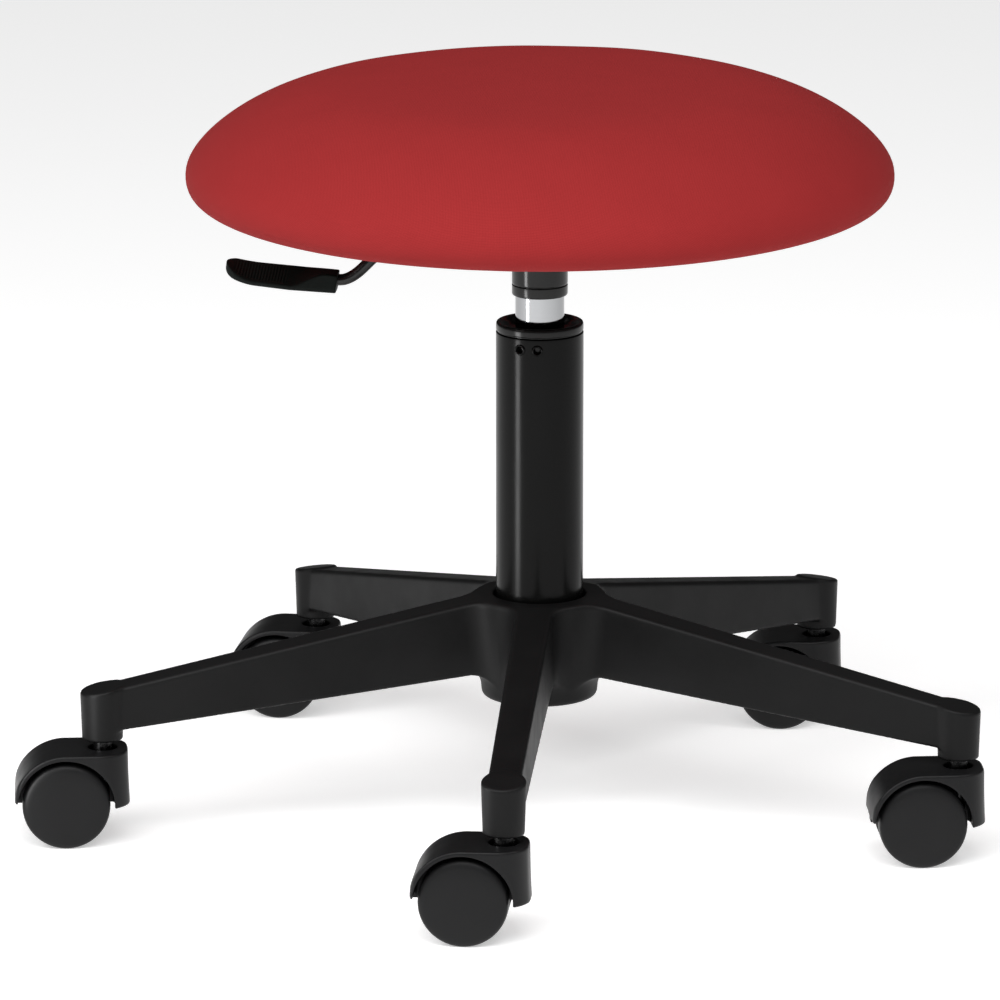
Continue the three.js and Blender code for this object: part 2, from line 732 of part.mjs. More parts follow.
const lift = new THREE.Group();
lift.add(
  named("gas_cylinder", gasCylinder(), metal(0xd8d9db, 0.12)),
  named("rod_guide_seal", rodGuideSeal(), matte(0x2a2a2c)),
  named("valve_body", valveBody(), metal(STEEL, 0.4)),
  named("release_pin", releasePin(), metal(STEEL, 0.3)),
  named("taper_socket", taperSocket(), gloss(BLACK)),
  named("seat_plate", seatPlate(), gloss(BLACK)),
  named("lever_pivot_pin", leverPivotPin(), metal(STEEL, 0.4)),
  named("seat_board", seatBoard(), matte(0xb58a57)),
  named("under_cover", underCover(), matte(0x141416)),
  named("foam_cushion", foamCushion(), matte(0xe2d9b8)),
  named("seat_cover", seatCover(), matte(0xa03034)),
  named("lever_rod", leverRod(), metal(0x26272a, 0.3)),
  named("lever_handle", leverHandle(), gloss(BLACK)),
);
boltPlaces().forEach(([x, y], i) => {
  const bolt = named("seat_bolt_" + (i + 1), seatBolt(), metal(STEEL, 0.4));
  const nut = named("tee_nut_" + (i + 1), teeNut(), metal(STEEL, 0.4));
  bolt.position.set(x, y, 0);
  nut.position.set(x, y, 0);
  lift.add(bolt, nut);
});
group.add(lift);

for (let number = 1; number <= ARMS; number++) group.add(caster(number));

export default group;
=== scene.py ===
"""Adjustable swivel stool: upholstered seat, gas lift and five-star base on twin-wheel casters.

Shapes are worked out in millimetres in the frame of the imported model: +Z up, the origin on the floor
under the column, one base arm along -Y. They are turned into metres when their meshes are made.
"""

import json
import math

import bpy
import numpy as np
from mathutils import Matrix, Vector


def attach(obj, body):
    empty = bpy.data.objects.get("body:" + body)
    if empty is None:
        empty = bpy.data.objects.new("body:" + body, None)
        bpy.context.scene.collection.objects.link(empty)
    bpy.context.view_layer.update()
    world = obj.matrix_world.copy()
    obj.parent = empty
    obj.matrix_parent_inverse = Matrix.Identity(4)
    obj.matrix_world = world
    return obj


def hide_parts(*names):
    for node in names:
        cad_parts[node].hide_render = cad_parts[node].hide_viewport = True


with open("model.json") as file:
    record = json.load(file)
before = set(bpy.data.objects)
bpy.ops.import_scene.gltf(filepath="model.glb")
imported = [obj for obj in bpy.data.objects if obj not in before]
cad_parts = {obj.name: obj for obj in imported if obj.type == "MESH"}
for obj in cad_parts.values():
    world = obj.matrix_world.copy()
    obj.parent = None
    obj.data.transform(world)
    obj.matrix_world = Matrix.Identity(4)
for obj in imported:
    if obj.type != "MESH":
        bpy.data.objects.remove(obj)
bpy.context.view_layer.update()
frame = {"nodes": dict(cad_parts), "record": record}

MM = 0.001
MOST_TRIANGLES = 190_000

# The sizes that several pieces share, in millimetres and degrees.
ARMS = 5
FIRST_ARM_DEG = -90
STEM_CIRCLE = 255.6
TRAIL_DEG = (179.7, 188.3, 180.0, 176.9, 187.7)
AXLE_X, AXLE_Z = 21.0, 25.0
TUBE_R, TUBE_FOOT, TUBE_TOP = 25.0, 69.5, 284.5
SOCKET_R, SOCKET_FOOT = 16.0, 306.0
PLATE_Z, PLATE_HALF_THICK = 354.7, 1.5
LEVER_Z, PIVOT_X = 339.5, -22.0
BOARD_BOTTOM = 359.2
SEAT_R, RIM_Z = 201.0, 378.4


# ---- Meshes ----


def mesh_piece(name, vertices, faces, surface_material, uvs=None):
    """A new object from vertices in millimetres. uvs holds one pair for each vertex."""
    mesh = bpy.data.meshes.new(name)
    mesh.from_pydata((np.asarray(vertices) * MM).tolist(), [], [list(f) for f in faces])
    mesh.materials.append(surface_material)
    mesh.shade_smooth()
    if uvs is not None:
        layer = mesh.uv_layers.new(name="cloth")
        corner_vertex = np.zeros(len(mesh.loops), np.int32)
        mesh.loops.foreach_get("vertex_index", corner_vertex)
        layer.data.foreach_set("uv", np.asarray(uvs)[corner_vertex].astype(np.float32).ravel())
    mesh.validate()
    piece = bpy.data.objects.new(name, mesh)
    bpy.context.scene.collection.objects.link(piece)
    return piece


def sharpen(piece, degrees):
    """Keeps the edges that turn by more than this sharp under smooth shading."""
    piece.data.set_sharp_from_angle(angle=math.radians(degrees))


def softened(outline, steps=5):
    """An outline of (r, z) or (r, z, bevel) points with each bevelled corner turned into a curve."""
    points = [(p[0], p[1]) for p in outline]
    bevels = [p[2] if len(p) > 2 else 0 for p in outline]
    curve = []
    for i, (corner, bevel) in enumerate(zip(points, bevels)):
        if not bevel:
            curve.append(corner)
            continue
        here = np.array(corner)
        ends = []
        for neighbour in (points[i - 1], points[(i + 1) % len(points)]):
            along = np.array(neighbour) - here
            length = np.hypot(*along)
            ends.append(here + along / length * min(bevel, 0.48 * length))
        for t in np.linspace(0, 1, steps + 1):
            curve.append(tuple((1 - t) ** 2 * ends[0] + 2 * t * (1 - t) * here + t**2 * ends[1]))
    return curve


def turned_mesh(outline, sides):
    """Vertices and faces of an outline of (r, z) points turned about Z.

    An outline whose ends are on the axis gets a pole at each end, and any other is closed on itself."""
    on_axis = outline[0][0] == 0 and outline[-1][0] == 0
    rings = outline[1:-1] if on_axis else outline
    turn = np.linspace(0, 2 * math.pi, sides, endpoint=False)
    vertices = [(r * math.cos(a), r * math.sin(a), z) for r, z in rings for a in turn]
    count = len(rings)
    faces = []
    for ring in range(count if not on_axis else count - 1):
        above = (ring + 1) % count
        for i in range(sides):
            j = (i + 1) % sides
            faces.append((ring * sides + i, ring * sides + j, above * sides + j, above * sides + i))
    if on_axis:
        first, last = len(vertices), len(vertices) + 1
        vertices += [(0, 0, outline[0][1]), (0, 0, outline[-1][1])]
        top = (count - 1) * sides
        for i in range(sides):
            j = (i + 1) % sides
            faces.append((j, i, first))
            faces.append((top + i, top + j, last))
    return vertices, faces


def lathe(name, outline, sides, surface_material, smooth_deg=40):
    """A piece turned about Z. The outline goes up on its outer side, and its corners may carry a bevel."""
    piece = mesh_piece(name, *turned_mesh(softened(outline), sides), surface_material)
    sharpen(piece, smooth_deg)
    return piece


def field_mesh(field, low, high, step, relax=1):
    """Vertices and quads of the surface where field(x, y, z) is 0, negative inside, sampled every step.

    Each grid cell that the surface crosses gets one vertex, at the mean of its crossings. The vertices are
    evened out over their neighbours, and then put back on the surface."""
    axes = [np.arange(a - 2 * step, b + 2.5 * step, step) for a, b in zip(low, high)]
    values = field(*np.meshgrid(*axes, indexing="ij", sparse=True)).astype(np.float32)
    inside = values < 0
    stride = np.array([values.shape[1] * values.shape[2], values.shape[2], 1])
    cells, places = [], []
    for a in range(3):
        b, c = np.eye(3, dtype=int)[[(a + 1) % 3, (a + 2) % 3]]
        ahead = np.eye(3, dtype=int)[a]
        near = tuple(slice(None, -1) if i == a else slice(None) for i in range(3))
        far = tuple(slice(1, None) if i == a else slice(None) for i in range(3))
        start = np.argwhere(inside[near] != inside[far])
        at_start = values[tuple(start.T)]
        at_end = values[tuple((start + ahead).T)]
        crossing = start + ahead * (at_start / (at_start - at_end))[:, None]
        around = np.stack([start, start - b, start - b - c, start - c], axis=1) @ stride
        leaving = at_start < 0
        around[~leaving] = around[~leaving][:, ::-1]
        cells.append(around)
        places.append(np.repeat(crossing[:, None], 4, axis=1))
    cells, places = np.concatenate(cells), np.concatenate(places).reshape(-1, 3)
    _, corners = np.unique(cells.ravel(), return_inverse=True)
    uses = np.bincount(corners)
    vertices = np.stack([np.bincount(corners, places[:, i]) for i in range(3)], axis=1) / uses[:, None]
    vertices = vertices * step + [axis[0] for axis in axes]
    faces = corners.reshape(-1, 4)
    for _ in range(relax):
        vertices = relaxed(vertices, faces)
    return settled(vertices, field, 0.5 * step), faces


def relaxed(vertices, faces, share=0.5):
    """Each vertex moved part of the way to the mean of its neighbours."""
    one, other = faces.ravel(), np.roll(faces, -1, axis=1).ravel()
    uses = np.bincount(one, minlength=len(vertices))
    mean = np.stack([np.bincount(one, vertices[other, i], len(vertices)) for i in range(3)], axis=1)
    return vertices + share * (mean / uses[:, None] - vertices)


def settled(vertices, field, most):
    """Vertices moved along the field's slope onto its surface, none of them by more than this distance."""
    nudge = 0.05
    slope = np.stack([
        field(*(vertices + nudge * way).T) - field(*(vertices - nudge * way).T) for way in np.eye(3)
    ], axis=1) / (2 * nudge)
    steepness = np.maximum(np.linalg.norm(slope, axis=1), 0.3)
    move = -(field(*vertices.T) / steepness**2)[:, None] * slope
    length = np.linalg.norm(move, axis=1, keepdims=True)
    return vertices + move * np.minimum(1, most / np.maximum(length, 1e-9))


def merged(a, b, reach):
    """The union of two fields, with a fillet."""
    blend = np.clip(0.5 + 0.5 * (b - a) / reach, 0, 1)
    return b + (a - b) * blend - reach * blend * (1 - blend)


def common(a, b, reach):
    """What two fields share, with a rounded edge."""
    return -merged(-a, -b, reach)


def without(a, b, reach):
    """The first field less the second, with a rounded edge."""
    return common(a, -b, reach)


def rounded_corner(past_one, past_other, radius):
    """The field of an upright corner of two faces, given the distance past each, with a round edge."""
    one, other = past_one + radius, past_other + radius
    outside = np.hypot(np.maximum(one, 0), np.maximum(other, 0))
    return outside + np.minimum(np.maximum(one, other), 0) - radius


def carve(piece, tools, operation="DIFFERENCE"):
    """Cuts tools out of the piece, or joins them to it, and removes them."""
    bpy.context.view_layer.update()
    for tool in tools:
        modifier = piece.modifiers.new("cut", "BOOLEAN")
        modifier.operation = operation
        modifier.solver = "EXACT"
        modifier.object = tool
        apply_modifiers(piece)
        bpy.data.objects.remove(tool)


def apply_modifiers(piece):
    """Makes what the modifiers show the piece's own mesh."""
    graph = bpy.context.evaluated_depsgraph_get()
    mesh = bpy.data.meshes.new_from_object(piece.evaluated_get(graph))
    piece.modifiers.clear()
    piece.data = mesh


def thin_out(piece, most_triangles):
    """Takes out points where the surface is flat, down to this many triangles."""
    triangles = sum(len(face.vertices) - 2 for face in piece.data.polygons)
    if triangles > most_triangles:
        fewer = piece.modifiers.new("fewer", "DECIMATE")
        fewer.ratio = most_triangles / triangles
        apply_modifiers(piece)


def bar(radius, start, end, sides):
    """A round bar for cutting, between two points in millimetres."""
    start, end = Vector(start), Vector(end)
    length = (end - start).length
    vertices, faces = turned_mesh([(0, 0), (radius, 0), (radius, length), (0, length)], sides)
    tool = mesh_piece("tool", vertices, faces, bpy.data.materials.new("tool"))
    turn = (end - start).to_track_quat("Z", "Y").to_matrix().to_4x4()
    tool.data.transform(Matrix.Translation(start * MM) @ turn)
    return tool


def box_tool(low, high):
    """A box for cutting, between two corners in millimetres."""
    corners = [(x, y, z) for x in (low[0], high[0]) for y in (low[1], high[1]) for z in (low[2], high[2])]
    faces = [(0, 1, 3, 2), (4, 6, 7, 5), (0, 4, 5, 1), (2, 3, 7, 6), (0, 2, 6, 4), (1, 5, 7, 3)]
    return mesh_piece("tool", corners, faces, bpy.data.materials.new("tool"))


# ---- Materials ----


class Look:
    """A node material built round one Principled shader, with short calls for what the looks share."""

    def __init__(self, name, colour, roughness, metallic=0.0, specular=0.5):
        self.material = bpy.data.materials.new(name)
        self.material.use_nodes = True
        self.tree = self.material.node_tree
        self.tree.nodes.clear()
        self.shader = self.add("ShaderNodeBsdfPrincipled")
        out = self.add("ShaderNodeOutputMaterial")
        self.link(self.shader.outputs["BSDF"], out.inputs["Surface"])
        self.shader.inputs["Base Color"].default_value = (*colour, 1)
        self.shader.inputs["Roughness"].default_value = roughness
        self.shader.inputs["Metallic"].default_value = metallic
        self.shader.inputs["Specular IOR Level"].default_value = specular
        self.height = None
        self.material.diffuse_color = (*colour, 1)

    def add(self, kind, **settings):
        made = self.tree.nodes.new(kind)
        for key, value in settings.items():
            if key in made.inputs:
                made.inputs[key].default_value = value
            else:
                setattr(made, key, value)
        return made

    def link(self, output, socket):
        self.tree.links.new(output, socket)

    def place(self, kind="Object", stretch=(1, 1, 1)):
        """Coordinates in metres on the object, or the piece's UVs, stretched along each axis."""
        coords = self.add("ShaderNodeTexCoord")
        mapping = self.add("ShaderNodeMapping")
        mapping.inputs["Scale"].default_value = stretch
        self.link(coords.outputs[kind], mapping.inputs["Vector"])
        return mapping.outputs["Vector"]

    def noise(self, size_mm, detail=3.0, stretch=(1, 1, 1), kind="Object"):
        made = self.add("ShaderNodeTexNoise", Scale=1000 / size_mm, Detail=detail)
        self.link(self.place(kind, stretch), made.inputs["Vector"])
        return made.outputs["Fac"]

    def ranged(self, value, low, high, source=(0.3, 0.7)):
        made = self.add("ShaderNodeMapRange")
        made.inputs["From Min"].default_value, made.inputs["From Max"].default_value = source
        made.inputs["To Min"].default_value, made.inputs["To Max"].default_value = low, high
        self.link(value, made.inputs["Value"])
        return made.outputs["Result"]

    def maths(self, operation, a, b=None):
        made = self.add("ShaderNodeMath", operation=operation)
        for socket, value in zip(made.inputs, (a, b)):
            if value is None:
                continue
            if isinstance(value, (int, float)):
                socket.default_value = value
            else:
                self.link(value, socket)
        return made.outputs["Value"]

    def rough(self, value, low, high):
        self.link(self.ranged(value, low, high), self.shader.inputs["Roughness"])
        return self

    def tint(self, value, dark, light, source=(0.3, 0.7)):
        """Mixes the base colour between two colours."""
        mix = self.add("ShaderNodeMix", data_type="RGBA")
        factor, first, second = mix.inputs[0], mix.inputs[6], mix.inputs[7]
        first.default_value = (*dark, 1)
        second.default_value = (*light, 1)
        self.link(self.ranged(value, 0, 1, source), factor)
        self.link(mix.outputs[2], self.shader.inputs["Base Color"])
        return self

    def bump(self, value, depth_mm, strength=1.0):
        """Adds relief of this depth on top of any relief so far."""
        made = self.add("ShaderNodeBump", Strength=strength, Distance=depth_mm * MM)
        self.link(value, made.inputs["Height"])
        if self.height:
            self.link(self.height, made.inputs["Normal"])
        self.height = made.outputs["Normal"]
        self.link(self.height, self.shader.inputs["Normal"])
        return self


def moulded_black(name, colour, rough_low, rough_high, grain_mm, depth_mm, specular):
    """Moulded plastic with a fine spark-eroded grain and faint rubbed patches."""
    look = Look(name, colour, 0.5, specular=specular)
    lighter = tuple(1.35 * c for c in colour)
    look.tint(look.noise(45, 4), colour, lighter)
    look.rough(look.noise(22, 5), rough_low, rough_high)
    look.bump(look.noise(60, 2), 0.12, 0.25)
    look.bump(look.noise(grain_mm, 2), depth_mm, 0.5)
    return look.material


def satin_paint():
    """Black powder paint on the column tube, with a faint orange peel."""
    look = Look("satin_paint", (0.0022, 0.0022, 0.0021), 0.2, specular=0.1)
    look.rough(look.noise(30, 4), 0.17, 0.23)
    look.bump(look.noise(1.6, 1), 0.012, 0.3)
    return look.material


def gloss_black(name, rough, specular=0.35):
    """Smooth black paint or plastic, with a slight unevenness in its shine."""
    look = Look(name, (0.006, 0.0058, 0.0056), rough, specular=specular)
    look.rough(look.noise(14, 4), rough - 0.04, rough + 0.06)
    look.bump(look.noise(9, 2), 0.01, 0.3)
    return look.material


def bright_chrome():
    """Polished chrome with the faint rings left by grinding, and a film of grease."""
    look = Look("bright_chrome", (0.34, 0.344, 0.352), 0.08, metallic=1.0)
    rings = look.noise(60, 3, (1, 1, 90))
    look.rough(rings, 0.05, 0.12)
    look.bump(rings, 0.004, 0.3)
    return look.material


def zinc_steel():
    """Zinc-plated steel, faintly cloudy."""
    look = Look("zinc_steel", (0.56, 0.56, 0.57), 0.32, metallic=1.0)
    look.tint(look.noise(5, 4), (0.42, 0.42, 0.44), (0.64, 0.64, 0.63))
    look.rough(look.noise(3, 3), 0.24, 0.42)
    look.bump(look.noise(0.9, 2), 0.01, 0.4)
    return look.material


def steel_darkened_as_shade():
    """Steel with a little oil on it, its colour darkened as painted shade for the gap under each boss
    where it shows, and bright where it has rubbed.
    """
    look = Look("steel_darkened_as_shade", (0.05, 0.05, 0.05), 0.3, metallic=1.0)
    look.tint(look.noise(3, 4), (0.035, 0.035, 0.036), (0.1, 0.1, 0.1), (0.42, 0.75))
    look.rough(look.noise(2, 3), 0.22, 0.4)
    look.bump(look.noise(0.7, 2), 0.01, 0.4)
    return look.material


def cast_alloy():
    """Plain die-cast alloy."""
    look = Look("cast_alloy", (0.66, 0.66, 0.68), 0.4, metallic=1.0)
    look.rough(look.noise(4, 4), 0.32, 0.5)
    look.bump(look.noise(1.2, 3), 0.02, 0.5)
    return look.material


def black_rubber():
    """Matt rubber with a dusty bloom."""
    look = Look("black_rubber", (0.018, 0.018, 0.018), 0.75, specular=0.3)
    look.tint(look.noise(8, 4), (0.014, 0.014, 0.014), (0.03, 0.03, 0.029))
    look.bump(look.noise(0.8, 3), 0.03, 0.5)
    return look.material


def plywood():
    """Beech plywood: long grain on the faces and thin dark plies on the edge."""
    look = Look("plywood", (0.5, 0.33, 0.17), 0.6)
    look.tint(look.noise(26, 6, (0.12, 1, 1)), (0.4, 0.25, 0.12), (0.58, 0.4, 0.22))
    ply_scale = 1000 / (4 * 2 * math.pi)
    plies = look.add("ShaderNodeTexWave", Scale=ply_scale, wave_type="BANDS", bands_direction="Z")
    look.link(look.place(), plies.inputs["Vector"])
    look.bump(plies.outputs["Fac"], 0.08, 0.4)
    look.bump(look.noise(7, 5, (0.08, 1, 1)), 0.1, 0.5)
    return look.material


def cut_foam():
    """Pale foam with open cells."""
    look = Look("cut_foam", (0.78, 0.7, 0.45), 0.95, specular=0.2)
    cells = look.add("ShaderNodeTexVoronoi", Scale=1000 / 1.5)
    look.link(look.place(), cells.inputs["Vector"])
    look.tint(look.noise(15, 4), (0.72, 0.64, 0.4), (0.82, 0.75, 0.5))
    look.bump(cells.outputs["Distance"], 0.5, 0.6)
    return look.material


def woven(name, dark, light, thread_mm, depth_mm, roughness, sheen, sheen_tint):
    """A plain weave: each thread runs over one and under the next, with soft slubs and loose fibres."""
    look = Look(name, light, roughness, specular=0.06)
    look.shader.inputs["Sheen Weight"].default_value = sheen
    look.shader.inputs["Sheen Roughness"].default_value = 0.45
    look.shader.inputs["Sheen Tint"].default_value = (*sheen_tint, 1)
    split = look.add("ShaderNodeSeparateXYZ")
    look.link(look.place("UV"), split.inputs["Vector"])
    wobble = look.maths("MULTIPLY", look.noise(9, 2, kind="UV"), 1.6)
    turns = math.pi * 1000 / thread_mm
    across = look.maths("ADD", look.maths("MULTIPLY", split.outputs["X"], turns), wobble)
    along = look.maths("ADD", look.maths("MULTIPLY", split.outputs["Y"], turns), wobble)
    warp = look.maths("ABSOLUTE", look.maths("SINE", across))
    weft = look.maths("ABSOLUTE", look.maths("SINE", along))
    over = look.maths("MULTIPLY", look.maths("SINE", across), look.maths("SINE", along))
    over = look.ranged(over, 0, 1, (-0.25, 0.25))
    mix = look.add("ShaderNodeMix", data_type="FLOAT")
    look.link(over, mix.inputs[0])
    look.link(warp, mix.inputs[2])
    look.link(weft, mix.inputs[3])
    threads = mix.outputs[0]
    fibres = look.noise(0.7, 4, kind="UV")
    mottle = look.noise(38, 5, kind="UV")
    shade = look.maths("ADD", look.maths("MULTIPLY", threads, 0.5), look.maths("MULTIPLY", mottle, 0.14))
    shade = look.maths("ADD", shade, look.maths("MULTIPLY", fibres, 0.4))
    look.tint(shade, dark, light, (0.25, 0.85))
    look.rough(fibres, roughness - 0.08, roughness + 0.06)
    look.bump(threads, depth_mm, 0.7)
    look.bump(fibres, depth_mm * 0.5, 0.4)
    return look.material


def seat_fabric():
    """Red upholstery cloth, finely woven and matt."""
    return woven(
        "seat_fabric", (0.2, 0.0142, 0.0148), (0.3, 0.0242, 0.025),
        thread_mm=0.9, depth_mm=0.1, roughness=0.9, sheen=0.02, sheen_tint=(0.9, 0.3, 0.3),
    )


def dust_cloth():
    """The black lining under the seat, coarser and with a faint fuzz."""
    return woven(
        "dust_cloth", (0.006, 0.006, 0.0065), (0.022, 0.022, 0.024),
        thread_mm=1.4, depth_mm=0.08, roughness=0.9, sheen=0.1, sheen_tint=(0.5, 0.5, 0.5),
    )


def floor_material():
    """A matt, nearly white floor that glows a little, as a lit backdrop does."""
    look = Look("studio_floor", (0.86, 0.86, 0.86), 0.85, specular=0.1)
    look.tint(look.noise(900, 2), (0.85, 0.85, 0.85), (0.87, 0.87, 0.87))
    look.shader.inputs["Emission Color"].default_value = (1, 1, 1, 1)
    look.shader.inputs["Emission Strength"].default_value = 0.44
    return look.material


BASE = moulded_black("base_plastic", (0.0045, 0.0045, 0.0046), 0.42, 0.52, 0.9, 0.03, 0.15)
HOOD = moulded_black("hood_plastic", (0.0056, 0.0056, 0.0059), 0.34, 0.44, 0.8, 0.02, 0.17)
WHEEL = moulded_black("wheel_plastic", (0.0068, 0.0068, 0.0071), 0.36, 0.46, 0.7, 0.02, 0.17)
LEVER = moulded_black("lever_plastic", (0.0048, 0.0062, 0.0055), 0.5, 0.62, 0.9, 0.015, 0.06)
PAINT = satin_paint()
SOCKET = gloss_black("socket_paint", 0.15, 0.26)
CAP = gloss_black("cap_plastic", 0.2, 0.22)
ROD_PAINT = gloss_black("rod_paint", 0.24)
CHROME = bright_chrome()
STEEL = zinc_steel()
# The stems' steel is painted dark to stand for the shade in the gap under each boss.
STEM_STEEL_IN_SHADE = steel_darkened_as_shade()
ALLOY = cast_alloy()
RUBBER = black_rubber()
PLYWOOD = plywood()
FOAM = cut_foam()
FABRIC = seat_fabric()
DUST = dust_cloth()

SLOT_LOOKS = {
    "base_plastic": BASE,
    "wheel_plastic": WHEEL,
    "column_paint": PAINT,
    "socket_paint": SOCKET,
    "cap_plastic": CAP,
    "lever_plastic": LEVER,
    "chrome": CHROME,
    "steel": STEEL,
    "alloy": ALLOY,
    "bumper_rubber": RUBBER,
    "plywood": PLYWOOD,
    "foam": FOAM,
    "seat_fabric": FABRIC,
    "dust_cloth": DUST,
}


# ---- Five-star base ----


HUB_R, HUB_TAPER, HUB_FOOT, HUB_TOP = 33.0, 0.088, 71.0, 131.0
TUBE_HOLE_R, MOUTH_R, MOUTH_FLOOR = 25.3, 26.5, 126.0
ARM_ROOT, ARM_END = 56.0, 252.0
ARM_HALF, ARM_TAPER, ARM_DRAFT, ARM_MID_Z = 10.9, 0.0094, 0.02, 98.0
WALL, ROOF, POCKET_START, POCKET_END = 2.9, 3.6, 53.0, 238.5
CROSS_RIBS, CROSS_RIB_HALF, LONG_RIB_HALF = (98, 146, 194), 1.1, 0.9
BOSS_R, BOSS_TAPER, BOSS_R_AT, BOSS_FOOT, BOSS_STEP = 11.6, 0.03, 60.7, 60.4, 0.5
STEM_HOLE_R, STEM_HOLE_TOP = 5.9, 86.0


def arm_top(u):
    """The height of an arm's top at u from the column's axis."""
    return 137.35 - 0.1853 * u


def arm_bottom(u):
    """The height of an arm's lower edge at u from the column's axis."""
    return 90.9 - 0.098 * u


def base_field(x, y, z):
    """The base, with its underside hollowed between ribs. u runs along the nearest arm and v across it."""
    sector = 2 * math.pi / ARMS
    radius = np.hypot(x, y)
    turn = np.arctan2(y, x) - math.radians(FIRST_ARM_DEG)
    turn = (turn + sector / 2) % sector - sector / 2
    u, v = radius * np.cos(turn), np.abs(radius * np.sin(turn))

    half = ARM_HALF - ARM_TAPER * (u - ARM_ROOT) + ARM_DRAFT * (ARM_MID_Z - z)
    arm = common(v - half, arm_bottom(u) - z, 1.6)
    arm = common(arm, u - ARM_END, 1.5)
    hub = common(radius - (HUB_R + HUB_TAPER * (z - HUB_FOOT)), HUB_FOOT - z, 3.5)
    body = merged(arm, hub, 11)
    body = common(body, z - np.minimum(HUB_TOP, arm_top(u)), 2.8)

    off_stem = np.hypot(u - STEM_CIRCLE, v)
    boss = off_stem - (BOSS_R + BOSS_TAPER * (z - BOSS_R_AT))
    boss = common(boss, z - arm_top(u) - BOSS_STEP, 1.6)
    boss = common(boss, BOSS_FOOT - z, 0.8)
    body = merged(body, boss, 2)

    ribs = np.minimum.reduce([np.abs(u - place) - CROSS_RIB_HALF for place in CROSS_RIBS])
    ribs = np.minimum(ribs, v - LONG_RIB_HALF)
    pocket = common(v - (half - WALL), z - (arm_top(u) - ROOF), 2)
    pocket = common(pocket, np.maximum(POCKET_START - u, u - POCKET_END), 1.5)
    pocket = without(pocket, ribs, 1.2)
    body = without(body, pocket, 1.2)

    bore = np.minimum(radius - TUBE_HOLE_R, np.maximum(radius - MOUTH_R, MOUTH_FLOOR - z))
    body = without(body, bore, 1)
    return without(body, np.maximum(off_stem - STEM_HOLE_R, z - STEM_HOLE_TOP), 1)


def five_star_base():
    low, high = (-258, -270, 60), (258, 231, 132)
    piece = mesh_piece("base_moulding", *field_mesh(base_field, low, high, 1.2, relax=3), BASE)
    thin_out(piece, MOST_TRIANGLES)
    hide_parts("five_star_base")
    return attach(piece, "base")


# ---- Column ----


COLUMN_SIDES = 128
TUBE_INNER_R, FOOT_THICK, SPINDLE_HOLE_R = 22.6, 4.0, 5.6
LOCK_DEGS, LOCK_Z, LOCK_HOLE_R = (-112.3, -88.9), 278.4, 1.95


def lock_ways():
    """The direction from the column's axis to each of the two lock holes."""
    return [Vector((math.cos(math.radians(deg)), math.sin(math.radians(deg)), 0)) for deg in LOCK_DEGS]


def column_barrel():
    """The tube, with closely spaced rings where the two lock holes pierce it."""
    lock_rows = [(TUBE_R, z) for z in np.arange(272.0, 283.0, 1.5)]
    inner_foot = TUBE_FOOT + FOOT_THICK
    outline = [
        (SPINDLE_HOLE_R, TUBE_FOOT), (TUBE_R - 1.6, TUBE_FOOT, 1.2), (TUBE_R, TUBE_FOOT + 1.5, 1.0),
        (TUBE_R, 120.0), (TUBE_R, 200.0), *lock_rows, (TUBE_R, TUBE_TOP, 0.4),
        (TUBE_INNER_R, TUBE_TOP), (TUBE_INNER_R, inner_foot), (SPINDLE_HOLE_R, inner_foot),
    ]
    piece = lathe("column_barrel", outline, COLUMN_SIDES, PAINT)
    middle = Vector((0, 0, LOCK_Z))
    for way in lock_ways():
        carve(piece, [bar(LOCK_HOLE_R, middle + way * 20, middle + way * 30, 24)])
    sharpen(piece, 35)
    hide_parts("column_tube")
    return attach(piece, "base")


def lock_rims():
    """A pressed lip round each lock hole."""
    lip = [
        (1.7, -0.8), (3.2, -0.8), (3.25, 0.1, 0.3), (2.7, 0.85, 0.4), (2.15, 0.7, 0.3), (1.7, -0.3, 0.2),
    ]
    sunk = 0.05
    for number, way in enumerate(lock_ways(), start=1):
        piece = lathe(f"lock_rim_{number}", lip, 40, PAINT)
        turn = way.to_track_quat("Z", "Y").to_matrix().to_4x4()
        middle = way * (TUBE_R - sunk) + Vector((0, 0, LOCK_Z))
        piece.data.transform(Matrix.Translation(middle * MM) @ turn)
        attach(piece, "base")


def column_cap():
    """The guide bush: a rounded collar on the tube's mouth, dished towards the cylinder."""
    bore_r, body_r, body_foot, cap_top = 14.45, 22.2, 205.0, 290.4
    seat_z = TUBE_TOP + 0.3
    outline = [
        (bore_r, body_foot, 0.5), (body_r, body_foot, 0.8), (body_r, seat_z), (24.3, seat_z, 0.3),
        (24.3, 285.4), (TUBE_R, 285.9, 0.4), (TUBE_R, cap_top, 2.2), (22.6, cap_top, 1.2),
        (20.4, 289.4, 1.0), (17.4, 286.2, 1.5), (bore_r, 285.6, 0.7),
    ]
    piece = lathe("column_cap", outline, COLUMN_SIDES, CAP)
    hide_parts("guide_bush")
    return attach(piece, "base")


def lift_cylinder():
    """The chromed cylinder, with its slight taper in the socket. Its ends are turned in round the rod."""
    outer, inner, hole, foot, top = 14.0, 12.3, 7.0, 94.5, 328.0
    outline = [
        (hole, foot), (outer, foot, 1.5), (outer, 150.0), (outer, 250.0), (outer, 304.0),
        (13.5, top, 0.8), (hole, top), (hole, top - 2.5), (inner, top - 3),
        (inner, foot + 3), (hole, foot + 2.5),
    ]
    piece = lathe("lift_cylinder", outline, COLUMN_SIDES, CHROME)
    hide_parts("gas_cylinder")
    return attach(piece, "seat")


